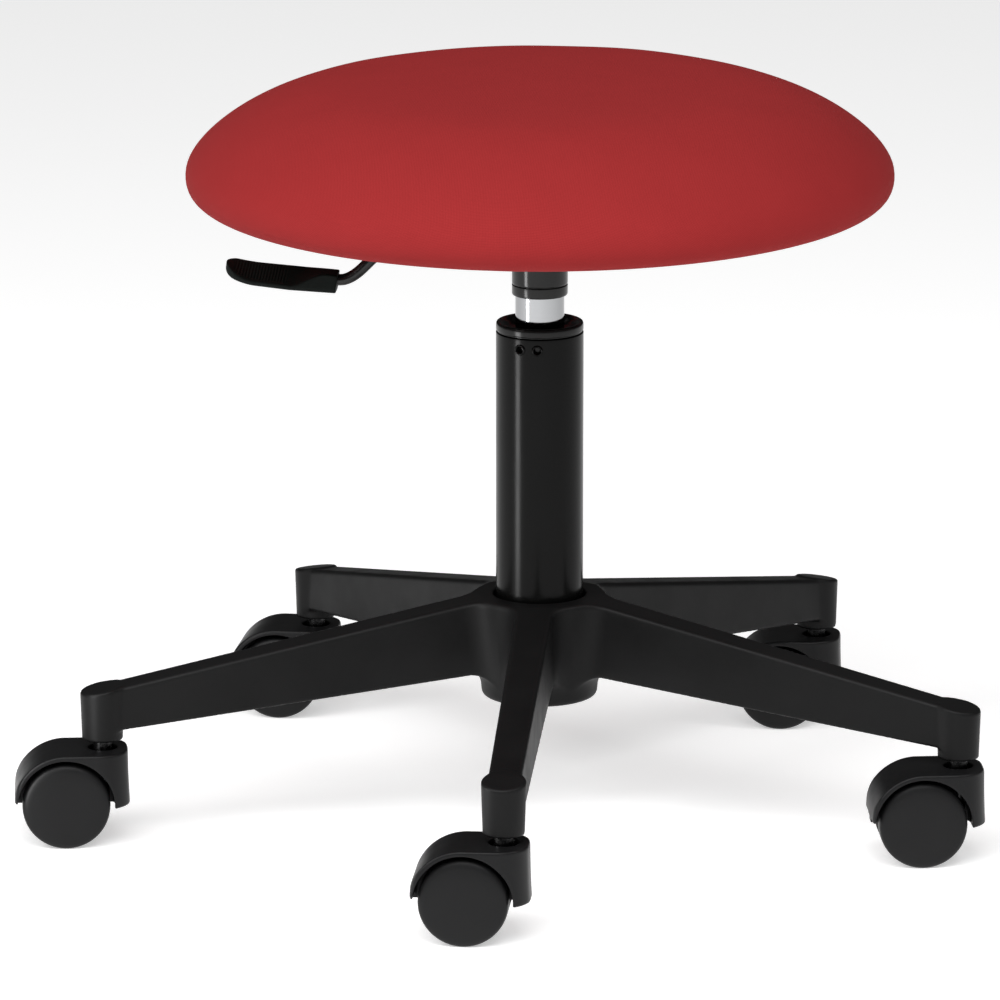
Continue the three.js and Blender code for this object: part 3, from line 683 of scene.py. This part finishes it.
def seat_socket():
    """The tapered socket under the seat plate, with a turned groove and a slot for the lever."""
    bore_r, upper_bore_r, groove_z = 14.35, 13.9, 312.5
    top = PLATE_Z - PLATE_HALF_THICK - 0.3
    outline = [
        (bore_r, SOCKET_FOOT, 0.5), (SOCKET_R, SOCKET_FOOT, 1.6), (SOCKET_R, groove_z - 0.6, 0.25),
        (SOCKET_R - 0.45, groove_z, 0.3), (SOCKET_R, groove_z + 0.6, 0.25), (SOCKET_R + 0.05, top, 0.3),
        (upper_bore_r, top), (upper_bore_r, 327.0), (bore_r, 322.0),
    ]
    piece = lathe("seat_socket", outline, 96, SOCKET)
    carve(piece, [box_tool((-20, -5, LEVER_Z - 8), (-8, 5, LEVER_Z + 6.5))])
    sharpen(piece, 35)
    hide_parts("taper_socket")
    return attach(piece, "seat")


# ---- Seat fittings ----


def plate_field(x, y, z):
    """The pressed steel seat plate: folded rim, stiffening beads, bolt holes and the lever's two ears."""
    plate_half, bead_half, bead_start, bead_end, bead_depth = 75, 6, 24, 62, 1.8
    rim_thick, rim_foot, ear_y, ear_foot = 2.4, 348.3, 8.5, 333.6
    bolt_place, bolt_hole_r, pin_hole_r = 55, 3.5, 3.3
    edge = rounded_corner(np.abs(x) - plate_half, np.abs(y) - plate_half, 12)
    diagonal = np.minimum(np.abs(x - y), np.abs(x + y)) / math.sqrt(2)
    from_centre = np.hypot(x, y)
    bead = np.clip(1 - (diagonal / bead_half) ** 2, 0, 1)
    bead = bead * np.clip((from_centre - bead_start) / 8, 0, 1)
    bead = bead * np.clip((bead_end - from_centre) / 6, 0, 1)
    sink = bead_depth * bead**0.7
    body = common(np.abs(z + sink - PLATE_Z) - PLATE_HALF_THICK, edge, 1)
    rim = np.maximum(edge, -(edge + rim_thick))
    rim = common(rim, np.maximum(rim_foot - z, z - 355), 0.8)
    body = merged(body, rim, 1.5)
    ears = np.maximum(np.abs(np.abs(y) - ear_y) - 1.5, np.abs(x + 22.3) - 5.7)
    ears = common(ears, np.maximum(ear_foot - z, z - 355), 1.2)
    body = merged(body, ears, 1.2)
    holes = np.hypot(np.abs(x) - bolt_place, np.abs(y) - bolt_place) - bolt_hole_r
    above_ears = np.where(z > LEVER_Z + 6.5, 50.0, 0.0)
    pin = np.hypot(x - PIVOT_X, z - LEVER_Z) - pin_hole_r + above_ears
    return without(without(body, holes, 0.4), pin, 0.3)


def seat_plate():
    low, high = (-76, -76, 333), (76, 76, 357)
    piece = mesh_piece("seat_plate_pressing", *field_mesh(plate_field, low, high, 0.95), ROD_PAINT)
    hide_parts("seat_plate")
    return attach(piece, "seat")


# ---- Upholstery ----

HEM_R = 152.6
DUST_COVER_R, DUST_COVER_Z = 150.0, 357.5


def quarter(flat_r, rise, power, turn):
    """One quarter of the seat's outline: a superellipse from its widest circle to its flat.

    flat_r is the flat's radius and rise its height above the widest circle, which is negative below it."""
    r = flat_r + (SEAT_R - flat_r) * np.cos(turn) ** (2 / power)
    return r, RIM_Z + rise * np.sin(turn) ** (2 / power)


def seat_outline():
    """Rows of (r, z) from the hem under the board, round the rim, and in to the crown's centre.

    The edge of the crown's flat is rounded off."""
    count, rows, flat_rows = 160, 58, 29
    almost_up = math.pi / 2 - 0.001
    low_r, low_z = quarter(96.5, -24.5, 3.34, np.linspace(almost_up, 0, count))
    high_r, high_z = quarter(112.2, 49.4, 1.595, np.linspace(0, almost_up, count)[1:])
    r, z = np.concatenate([low_r, high_r]), np.concatenate([low_z, high_z])
    kept = (r > HEM_R) | (np.arange(len(r)) >= count)
    r, z = r[kept], z[kept]
    r = np.append(r, np.linspace(r[-1], 0, flat_rows + 1)[1:])
    z = np.append(z, np.full(flat_rows, z[-1]))
    length = np.append(0, np.cumsum(np.hypot(np.diff(r), np.diff(z))))
    even = np.linspace(0, length[-1], rows)
    r, z = np.interp(even, length, r), np.interp(even, length, z)
    soft = np.clip((160 - r) / 30, 0, 1) * (z > RIM_Z)
    for _ in range(12):
        z[1:-1] += 0.25 * soft[1:-1] * (z[:-2] - 2 * z[1:-1] + z[2:])
    return r, z


def inflated(piece, firmness, travel_mm, frames=20):
    """The piece after a short cloth simulation under pressure, with no point moved more than travel_mm."""
    rest = np.array([v.co for v in piece.data.vertices])
    modifier = piece.modifiers.new("cloth", "CLOTH")
    cloth = modifier.settings
    cloth.quality = 5
    cloth.mass = 0.3
    cloth.tension_stiffness = cloth.compression_stiffness = cloth.shear_stiffness = firmness
    cloth.bending_stiffness = 4
    cloth.use_pressure = True
    cloth.uniform_pressure_force = 4
    cloth.effector_weights.gravity = 0
    cloth.vertex_group_mass = "held"
    modifier.point_cache.frame_start, modifier.point_cache.frame_end = 1, frames
    scene = bpy.context.scene
    for step in range(1, frames + 1):
        scene.frame_set(step)
    graph = bpy.context.evaluated_depsgraph_get()
    moved = np.array([v.co for v in piece.evaluated_get(graph).data.vertices])
    travel = moved - rest
    length = np.linalg.norm(travel, axis=1, keepdims=True)
    limit = travel_mm * MM
    travel = travel * limit * np.tanh(length / limit) / np.maximum(length, 1e-9)
    piece.modifiers.clear()
    scene.frame_set(1)
    piece.data.vertices.foreach_set("co", (rest + travel).ravel())
    piece.data.update()


def seat_pad():
    """The upholstered seat: a crowned form pulled over the board, tucked and stapled round its underside.

    The cloth starts just inside its outline, is filled by pressure, and is held where it is stapled."""
    sides, inward, held_top, held_r = 144, 0.9, 362, 186
    r, z = seat_outline()
    arc = np.append(0, np.cumsum(np.hypot(np.diff(r), np.diff(z))))
    cloth_r = arc[-1] - arc
    roll = [(0, BOARD_BOTTOM), (147.0, BOARD_BOTTOM), (150.7, 358.5), (151.2, 356.2)]
    cloth_roll = [0, cloth_r[0] + 12, cloth_r[0] + 8, cloth_r[0] + 4]
    outline = roll + list(zip(r - inward * (r > 160), z - inward * (z > 400)))
    across = np.append(cloth_roll, cloth_r)
    vertices, faces = turned_mesh(outline, sides)
    turn = np.linspace(0, 2 * math.pi, sides, endpoint=False)
    rings = across[1:-1]
    uvs = [(s * math.cos(a), s * math.sin(a)) for s in rings for a in turn] + [(0, 0), (0, 0)]
    piece = mesh_piece("seat_pad", vertices, faces, FABRIC, np.array(uvs) * MM)
    held = piece.vertex_groups.new(name="held")
    stapled = [i for i, (x, y, up) in enumerate(vertices) if up < held_top and math.hypot(x, y) < held_r]
    held.add(stapled, 1.0, "REPLACE")
    inflated(piece, firmness=15, travel_mm=1.8)
    centred_rings(piece, roll + list(zip(r, z)), sides)
    piece.modifiers.new("smooth", "SUBSURF").levels = 1
    piece.modifiers["smooth"].render_levels = 1
    apply_modifiers(piece)
    tuck_hem(piece)
    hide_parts("foam_cushion", "seat_cover")
    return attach(piece, "seat")


def centred_rings(piece, outline, sides):
    """Moves each ring of the simulated pad so that its mean is the outline's, with a slight crown on top.

    What is left of the simulation is its gentle unevenness, evened out over neighbouring points."""
    crown, crown_r, evenings = 1.8, 112, 14
    count = len(outline) - 2
    co = np.array([v.co for v in piece.data.vertices])[: count * sides].reshape(count, sides, 3) / MM
    turn = np.linspace(0, 2 * math.pi, sides, endpoint=False)
    r = co[..., 0] * np.cos(turn) + co[..., 1] * np.sin(turn)
    offset = np.stack([r, co[..., 2]], axis=-1)
    offset = offset - offset.mean(axis=1, keepdims=True)
    for _ in range(evenings):
        offset = (offset + np.roll(offset, 1, axis=1) + np.roll(offset, -1, axis=1)) / 3
        offset[1:-1] = (offset[1:-1] + offset[:-2] + offset[2:]) / 3
    wanted = np.array(outline[1:-1])
    flat = np.clip(1 - (wanted[:, 0] / crown_r) ** 2, 0, 1) * (wanted[:, 1] > RIM_Z)
    r = wanted[:, 0, None] + offset[..., 0]
    z = (wanted[:, 1] + crown * flat)[:, None] + offset[..., 1]
    fitted = np.stack([r * np.cos(turn), r * np.sin(turn), z], axis=-1).reshape(-1, 3)
    poles = [(0, 0, outline[0][1]), (0, 0, outline[-1][1] + crown)]
    piece.data.vertices.foreach_set("co", (np.vstack([fitted, poles]) * MM).ravel())
    piece.data.update()


def tuck_hem(piece):
    """Gathers the fabric in shallow tucks where it turns under the board."""
    tucks, depth, lift = 48, 0.75, 0.2
    inner_r, outer_r, fade_width = 151, 182, 22
    co = np.array([v.co for v in piece.data.vertices]) / MM
    r, turn = np.hypot(co[:, 0], co[:, 1]), np.arctan2(co[:, 1], co[:, 0])
    below = np.clip((362 - co[:, 2]) / 5, 0, 1) * (r > inner_r)
    fade = np.clip((outer_r - r) / fade_width, 0, 1) ** 1.5 * below
    wave = np.sin(tucks * turn + 0.8 * np.sin(5 * turn)) * (0.7 + 0.3 * np.sin(7 * turn + 1))
    co[:, 2] += fade * (depth * wave - lift)
    piece.data.vertices.foreach_set("co", (co * MM).ravel())
    piece.data.update()


def dust_cover():
    """A thin round cloth stapled under the board, slack between its staples."""
    sides, rings, staples = 180, 26, 20
    clear_of_plate, slack, staple_dip, ruffle = 78, 0.9, 0.7, 0.22
    vertices, uvs = [], []
    for ring in range(rings + 1):
        reach = DUST_COVER_R * ring / rings
        inside = DUST_COVER_R - reach
        for i in range(sides if ring else 1):
            turn = 2 * math.pi * i / sides
            x, y = reach * math.cos(turn), reach * math.sin(turn)
            outside_plate = np.clip((max(abs(x), abs(y)) - clear_of_plate) / 20, 0, 1)
            edge = np.clip(inside / 16, 0, 1)
            ripple = 0.5 + 0.5 * math.cos(staples * turn)
            sag = outside_plate * (slack * edge * math.sin(math.pi * min(1, inside / 62)) ** 2)
            sag += (1 - edge) * staple_dip * (1 - ripple)
            sag += outside_plate * edge * ruffle * math.sin(9 * turn + reach / 11) * math.sin(reach / 7)
            vertices.append((x, y, DUST_COVER_Z - sag))
            uvs.append((x * MM, y * MM))
    faces = [(0, 1 + i, 1 + (i + 1) % sides) for i in range(sides)]
    for ring in range(1, rings):
        low, high = 1 + (ring - 1) * sides, 1 + ring * sides
        faces += [(low + i, high + i, high + (i + 1) % sides, low + (i + 1) % sides) for i in range(sides)]
    piece = mesh_piece("dust_cover_cloth", vertices, faces, DUST, uvs)
    thick = piece.modifiers.new("thickness", "SOLIDIFY")
    thick.thickness = 0.5 * MM
    thick.offset = 0
    apply_modifiers(piece)
    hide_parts("under_cover")
    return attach(piece, "seat")


# ---- Lever ----


HANDLE_X, HANDLE_Z, HANDLE_TILT_DEG = -115.4, 312, 6.3
ROD_R = 3.3


def smooth_route(points):
    """A Catmull-Rom curve through the points."""
    steps = 90
    points = np.array(points, float)
    ends = np.vstack([2 * points[0] - points[1], points, 2 * points[-1] - points[-2]])
    route = []
    for i in range(1, len(ends) - 2):
        before, here, after, beyond = ends[i - 1 : i + 3]
        for t in np.linspace(0, 1, max(2, steps // len(points)), endpoint=False):
            linear = after - before
            square = 2 * before - 5 * here + 4 * after - beyond
            cubic = 3 * here - before - 3 * after + beyond
            route.append(0.5 * (2 * here + linear * t + square * t**2 + cubic * t**3))
    return np.array(route + [points[-1]])


def lever_rod():
    """A bent steel rod in the XZ plane, from the valve pin through its pivot eye into the handle."""
    route = smooth_route([
        (3, LEVER_Z), (-12, LEVER_Z), (-40, 339.2), (-72, 338.2), (-83.5, 335), (-93.8, 326.5),
        (-103.6, 317), (-110.4, 312.9), (-116.4, 312.3), (-123.6, 313.1),
    ])
    sides, end_share = 28, 0.82
    ahead = np.gradient(route, axis=0)
    ahead /= np.linalg.norm(ahead, axis=1, keepdims=True)
    shares = np.full(len(route), 1.0)
    shares[[0, -1]] = end_share
    vertices = []
    for (x, z), (dx, dz), share in zip(route, ahead, shares):
        for i in range(sides):
            turn = 2 * math.pi * i / sides
            out, side = ROD_R * share * math.cos(turn), ROD_R * share * math.sin(turn)
            vertices.append((x - dz * out, side, z + dx * out))
    faces = []
    for step in range(len(route) - 1):
        for i in range(sides):
            here, beside = step * sides + i, step * sides + (i + 1) % sides
            faces.append((here, beside, beside + sides, here + sides))
    faces.append(tuple(range(sides - 1, -1, -1)))
    faces.append(tuple(range(len(vertices) - sides, len(vertices))))
    piece = mesh_piece("lever_bar", vertices, faces, ROD_PAINT)
    carve(piece, [bar(5.5, (PIVOT_X, -6, LEVER_Z), (PIVOT_X, 6, LEVER_Z), 40)], "UNION")
    carve(piece, [bar(3.35, (PIVOT_X, -7, LEVER_Z), (PIVOT_X, 7, LEVER_Z), 32)])
    piece.data.materials.clear()
    piece.data.materials.append(ROD_PAINT)
    piece.data.shade_smooth()
    sharpen(piece, 35)
    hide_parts("lever_rod")
    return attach(piece, "lever")


def handle_field(along, across, up):
    """The lever's paddle: a block whose top opens outwards into a scooped, ribbed finger rest.

    along runs outwards from the block's inner end, and across is negative on the near side."""
    block_end, scoop_length, tip_start, tip_length = 6, 21, 46, 18
    rib_pitch, rib_depth, bore_r, bore_end = 1.7, 0.26, 3.5, 9
    opened = np.clip((along - block_end) / scoop_length, 0, 1)
    opened = opened * opened * (3 - 2 * opened)
    tip = np.clip((along - tip_start) / tip_length, 0, 1) ** 2
    slope = np.clip((across + 9) / 18, 0, 1)
    far_top = 4.6 - 0.03 * np.minimum(along, 45) + 1.1 * tip
    near_top = 4.3 - 9.2 * opened + 8 * tip
    top = near_top + (far_top - near_top) * slope**1.1
    ribbed = np.clip((along - 27) / 3, 0, 1) * np.clip((60 - along) / 2, 0, 1)
    ribbed = ribbed * np.clip((7.0 - np.abs(across)) / 0.8, 0, 1)
    top = top + rib_depth * ribbed * np.cos(2 * math.pi * along / rib_pitch)
    bottom = -6.7 - 0.05 * np.minimum(along, 27) + 4.6 * tip
    half = 8.2 + 0.8 * np.clip(along / 25, 0, 1)
    end = np.hypot(np.maximum(along - 58, 0) / 6.3, np.abs(across) / half) - 1
    body = common(np.maximum(np.abs(across) - half, 7 * end), up - top, 1.1)
    body = common(body, bottom - up, 3.4)
    body = common(body, -along, 0.8)
    bore = np.maximum(np.hypot(across, up - 0.2) - bore_r, along - bore_end)
    return without(body, bore, 0.3)


def lever_handle():
    """The paddle, turned so that it runs outwards along -X from the rod's end."""
    vertices, faces = field_mesh(handle_field, (0, -9.5, -8.6), (64.5, 9.5, 5.5), 0.38)
    vertices[:, 0] *= -1
    faces = faces[:, ::-1]
    piece = mesh_piece("lever_paddle", vertices, faces, LEVER)
    turn = Matrix.Rotation(math.radians(HANDLE_TILT_DEG), 4, "Y")
    piece.data.transform(Matrix.Translation((HANDLE_X * MM, 0, HANDLE_Z * MM)) @ turn)
    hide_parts("lever_handle")
    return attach(piece, "lever")


# ---- Casters ----

HOOD_R, HOOD_INNER_R, HOOD_TOP = 30.5, 27.6, 55.5
HOOD_TIP_X, HOOD_TIP_ROUND, HOOD_HALF, HOOD_BACK_ROUND = 50.2, 5.0, 21.5, 18.5
WEB_HALF, AXLE_HUB_R, AXLE_HOLE_R = 4.7, 9.0, 3.3


def hood_field(x, y, z):
    """A caster's hood, with its stem on the Z axis and its wheels towards +X."""
    side = np.abs(y)
    off_axle = np.hypot(x - AXLE_X, z - AXLE_Z)
    back = -14.7 - 0.9 * np.clip((55 - z) / 31, 0, 1) ** 2
    block = common(np.maximum(back - x, x - AXLE_X), z - HOOD_TOP, 2.5)
    profile = np.minimum(off_axle - HOOD_R, block)
    lower_edge = np.where(x > AXLE_X, 27.0, 23.5)
    profile = common(profile, lower_edge - z, 1)
    tip = rounded_corner(x - HOOD_TIP_X, side - HOOD_HALF, HOOD_TIP_ROUND)
    end = rounded_corner(back - x, side - HOOD_HALF, HOOD_BACK_ROUND)
    outer = common(profile, np.maximum(tip, end), 1.5)
    shell = without(outer, off_axle - HOOD_INNER_R, 0.6)
    web = np.minimum(np.maximum(off_axle - HOOD_INNER_R - 1, 24 - z), off_axle - AXLE_HUB_R)
    web = common(web, side - WEB_HALF, 0.8)
    hood = merged(shell, web, 1.5)
    off_stem = np.hypot(x, y)
    dish_r, dish_floor, socket_r, socket_floor = 8.2, 50.6, 5.4, 30
    hood = without(hood, np.maximum(off_stem - dish_r, dish_floor - z), 1)
    hood = without(hood, np.maximum(off_stem - socket_r, socket_floor - z), 0.5)
    return without(hood, off_axle - AXLE_HOLE_R, 0.4)


def wheel_master():
    """A wheel about Z: a domed outer face, a rounded tread and a recessed back with a blind axle hole."""
    tread_r, inner_z, recess_z, bore_r, bore_end = 25.05, 6.0, 10.5, 3.35, 16.6
    outline = [
        (0, 19.8), (8.0, 19.7), (16.0, 19.4, 3.0), (22.0, 18.7, 2.5), (24.7, 17.2, 2.0),
        (tread_r, 14.4, 1.5), (tread_r, 7.4), (24.7, 6.2, 0.8), (22.8, inner_z, 0.6),
        (20.6, inner_z, 0.4), (20.0, recess_z, 1.0), (8.0, recess_z, 1.0), (7.4, inner_z, 0.4),
        (bore_r, inner_z, 0.3), (bore_r, bore_end), (0, bore_end),
    ]
    vertices, faces = turned_mesh(softened(outline, 6)[::-1], 80)
    piece = mesh_piece("wheel_master", vertices, faces, WHEEL)
    sharpen(piece, 45)
    return piece


def stem_master():
    """A stem: its pin in the hood, the collar, and the neck with its grip ring in the boss."""
    pin_r, pin_foot, collar_r, neck_r, top = 4.1, 30.6, 5.35, 4.5, 85.0
    outline = [
        (0, pin_foot), (pin_r, pin_foot, 0.5), (pin_r, 49.0), (5.3, 49.8, 0.3), (collar_r, 66.5),
        (collar_r, 69.0, 0.6), (neck_r, 70.0, 0.3), (5.6, 72.5, 1.0), (neck_r, 75.0, 0.3),
        (neck_r, top, 0.8), (0, top),
    ]
    return lathe("stem_master", outline, 48, STEM_STEEL_IN_SHADE)


def casters():
    """Five casters from one hood, one wheel and one stem."""
    low, high = (-16, -22, 15), (52, 22, 57)
    hood = mesh_piece("hood_master", *field_mesh(hood_field, low, high, 0.66), HOOD)
    wheel = wheel_master()
    stem = stem_master()
    spin = Matrix.Rotation(math.radians(-90), 4, "X")
    mirror = Matrix.Rotation(math.pi, 4, "Z")
    to_axle = Matrix.Translation((AXLE_X * MM, 0, AXLE_Z * MM))
    for number in range(1, ARMS + 1):
        arm = math.radians(FIRST_ARM_DEG + (number - 1) * 360 / ARMS)
        place = Matrix.Translation((STEM_CIRCLE * MM * math.cos(arm), STEM_CIRCLE * MM * math.sin(arm), 0))
        place = place @ Matrix.Rotation(math.radians(TRAIL_DEG[number - 1]), 4, "Z")
        left, right = place @ to_axle @ spin, place @ to_axle @ mirror @ spin
        caster = f"caster_{number}"
        parts = (
            ("hood_shell", hood, place, caster, "hood", "base_plastic"),
            ("stem_pin", stem, place, caster, "stem", "steel"),
            ("wheel_left", wheel, left, caster + "_left_wheel", "wheel_a", "wheel_plastic"),
            ("wheel_right", wheel, right, caster + "_right_wheel", "wheel_b", "wheel_plastic"),
        )
        for name, master, where, body, node, slot in parts:
            piece = bpy.data.objects.new(f"{caster}_{name}", master.data.copy())
            bpy.context.scene.collection.objects.link(piece)
            piece.data.transform(where)
            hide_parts(f"{caster}_{node}")
            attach(piece, body)
    for master in (hood, wheel, stem):
        bpy.data.objects.remove(master)


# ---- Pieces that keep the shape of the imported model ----


def dress_nodes():
    """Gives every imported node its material, and a small bevel to the ones with machined edges."""
    slots = {part["node"]: part["material_slot"] for part in frame["record"]["subparts"]}
    machined = ("seat_bolt", "tee_nut", "lever_pivot", "caster_", "seat_board")
    for name, node in frame["nodes"].items():
        node.data.materials.clear()
        node.data.materials.append(SLOT_LOOKS[slots[name]])
        if name.startswith(machined):
            edges = node.modifiers.new("edges", "BEVEL")
            edges.width = 0.3 * MM
            edges.segments = 2
            edges.limit_method = "ANGLE"
            edges.angle_limit = math.radians(40)


# ---- Studio ----


def studio_floor():
    half = 7.0
    corners = [(-half, -half, 0), (half, -half, 0), (half, half, 0), (-half, half, 0)]
    mesh = bpy.data.meshes.new("studio_floor")
    mesh.from_pydata(corners, [], [(0, 1, 2, 3)])
    mesh.materials.append(floor_material())
    floor = bpy.data.objects.new("studio_floor", mesh)
    bpy.context.scene.collection.objects.link(floor)


def soft_box(name, place, aim, width, height, power):
    """A rectangular area light in metres and watts."""
    light = bpy.data.lights.new(name, "AREA")
    light.shape = "RECTANGLE"
    light.size, light.size_y = width, height
    light.energy = power
    made = bpy.data.objects.new(name, light)
    made.location = place
    made.rotation_euler = (Vector(aim) - Vector(place)).to_track_quat("-Z", "Y").to_euler()
    bpy.context.scene.collection.objects.link(made)
    return made


def around(azimuth_deg, distance, height):
    """A place this far from the column's axis. Azimuth 0 is in front of the object, 90 on its right."""
    turn = math.radians(azimuth_deg)
    return (distance * math.sin(turn), -distance * math.cos(turn), height)


def lights():
    """Three soft boxes from the front and above, and one strip close to the column."""
    soft_box("front_left", around(-52, 2.3, 1.8), (0, 0, 0.3), 1.2, 1.2, 34)
    soft_box("overhead", (-0.05, -2.0, 2.3), (0, 0, 0.25), 2.2, 1.8, 62)
    soft_box("right_fill", around(70, 1.9, 1.9), (0, 0, 0.3), 0.8, 1.2, 13)
    # A low strip that is seen only as the bright line down the shiny column.
    strip = soft_box("column_strip", around(-54, 0.52, 0.115), (0, 0, 0.115), 0.1, 0.22, 1.0)
    strip.visible_diffuse = False
    bpy.context.scene.world = studio_world()


def studio_world():
    """Dim walls round the studio under a brighter ceiling, which is darker behind the object."""
    world = bpy.data.worlds.new("studio")
    world.use_nodes = True
    nodes, links = world.node_tree.nodes, world.node_tree.links
    coords = nodes.new("ShaderNodeTexCoord")
    split = nodes.new("ShaderNodeSeparateXYZ")
    links.new(coords.outputs["Generated"], split.inputs["Vector"])
    both = nodes.new("ShaderNodeMath")
    both.operation = "MULTIPLY"
    for socket, axis, source, strength in (
        (both.inputs[0], "Z", (0.25, 0.8), (0.1, 0.5)),
        (both.inputs[1], "Y", (-0.2, 0.5), (1.0, 0.35)),
    ):
        ramp = nodes.new("ShaderNodeMapRange")
        ramp.inputs["From Min"].default_value, ramp.inputs["From Max"].default_value = source
        ramp.inputs["To Min"].default_value, ramp.inputs["To Max"].default_value = strength
        links.new(split.outputs[axis], ramp.inputs["Value"])
        links.new(ramp.outputs["Result"], socket)
    links.new(both.outputs["Value"], nodes["Background"].inputs["Strength"])
    nodes["Background"].inputs["Color"].default_value = (1, 1, 1, 1)
    return world


def camera():
    """A long lens from in front, slightly from the right, looking down 14 degrees."""
    data = bpy.data.cameras.new("camera")
    data.sensor_width = 36
    data.lens = 308.0
    data.clip_start, data.clip_end = 0.1, 60
    made = bpy.data.objects.new("camera", data)
    made.location = (0.3610, -4.7370, 1.3568)
    made.rotation_euler = (math.radians(76.148), 0, math.radians(4.631))
    bpy.context.scene.collection.objects.link(made)
    bpy.context.scene.camera = made


camera()
lights()
studio_floor()
bpy.context.scene.view_settings.view_transform = "Standard"
dress_nodes()
five_star_base()
column_barrel()
lock_rims()
column_cap()
lift_cylinder()
seat_socket()
seat_plate()
seat_pad()
dust_cover()
lever_rod()
lever_handle()
casters()
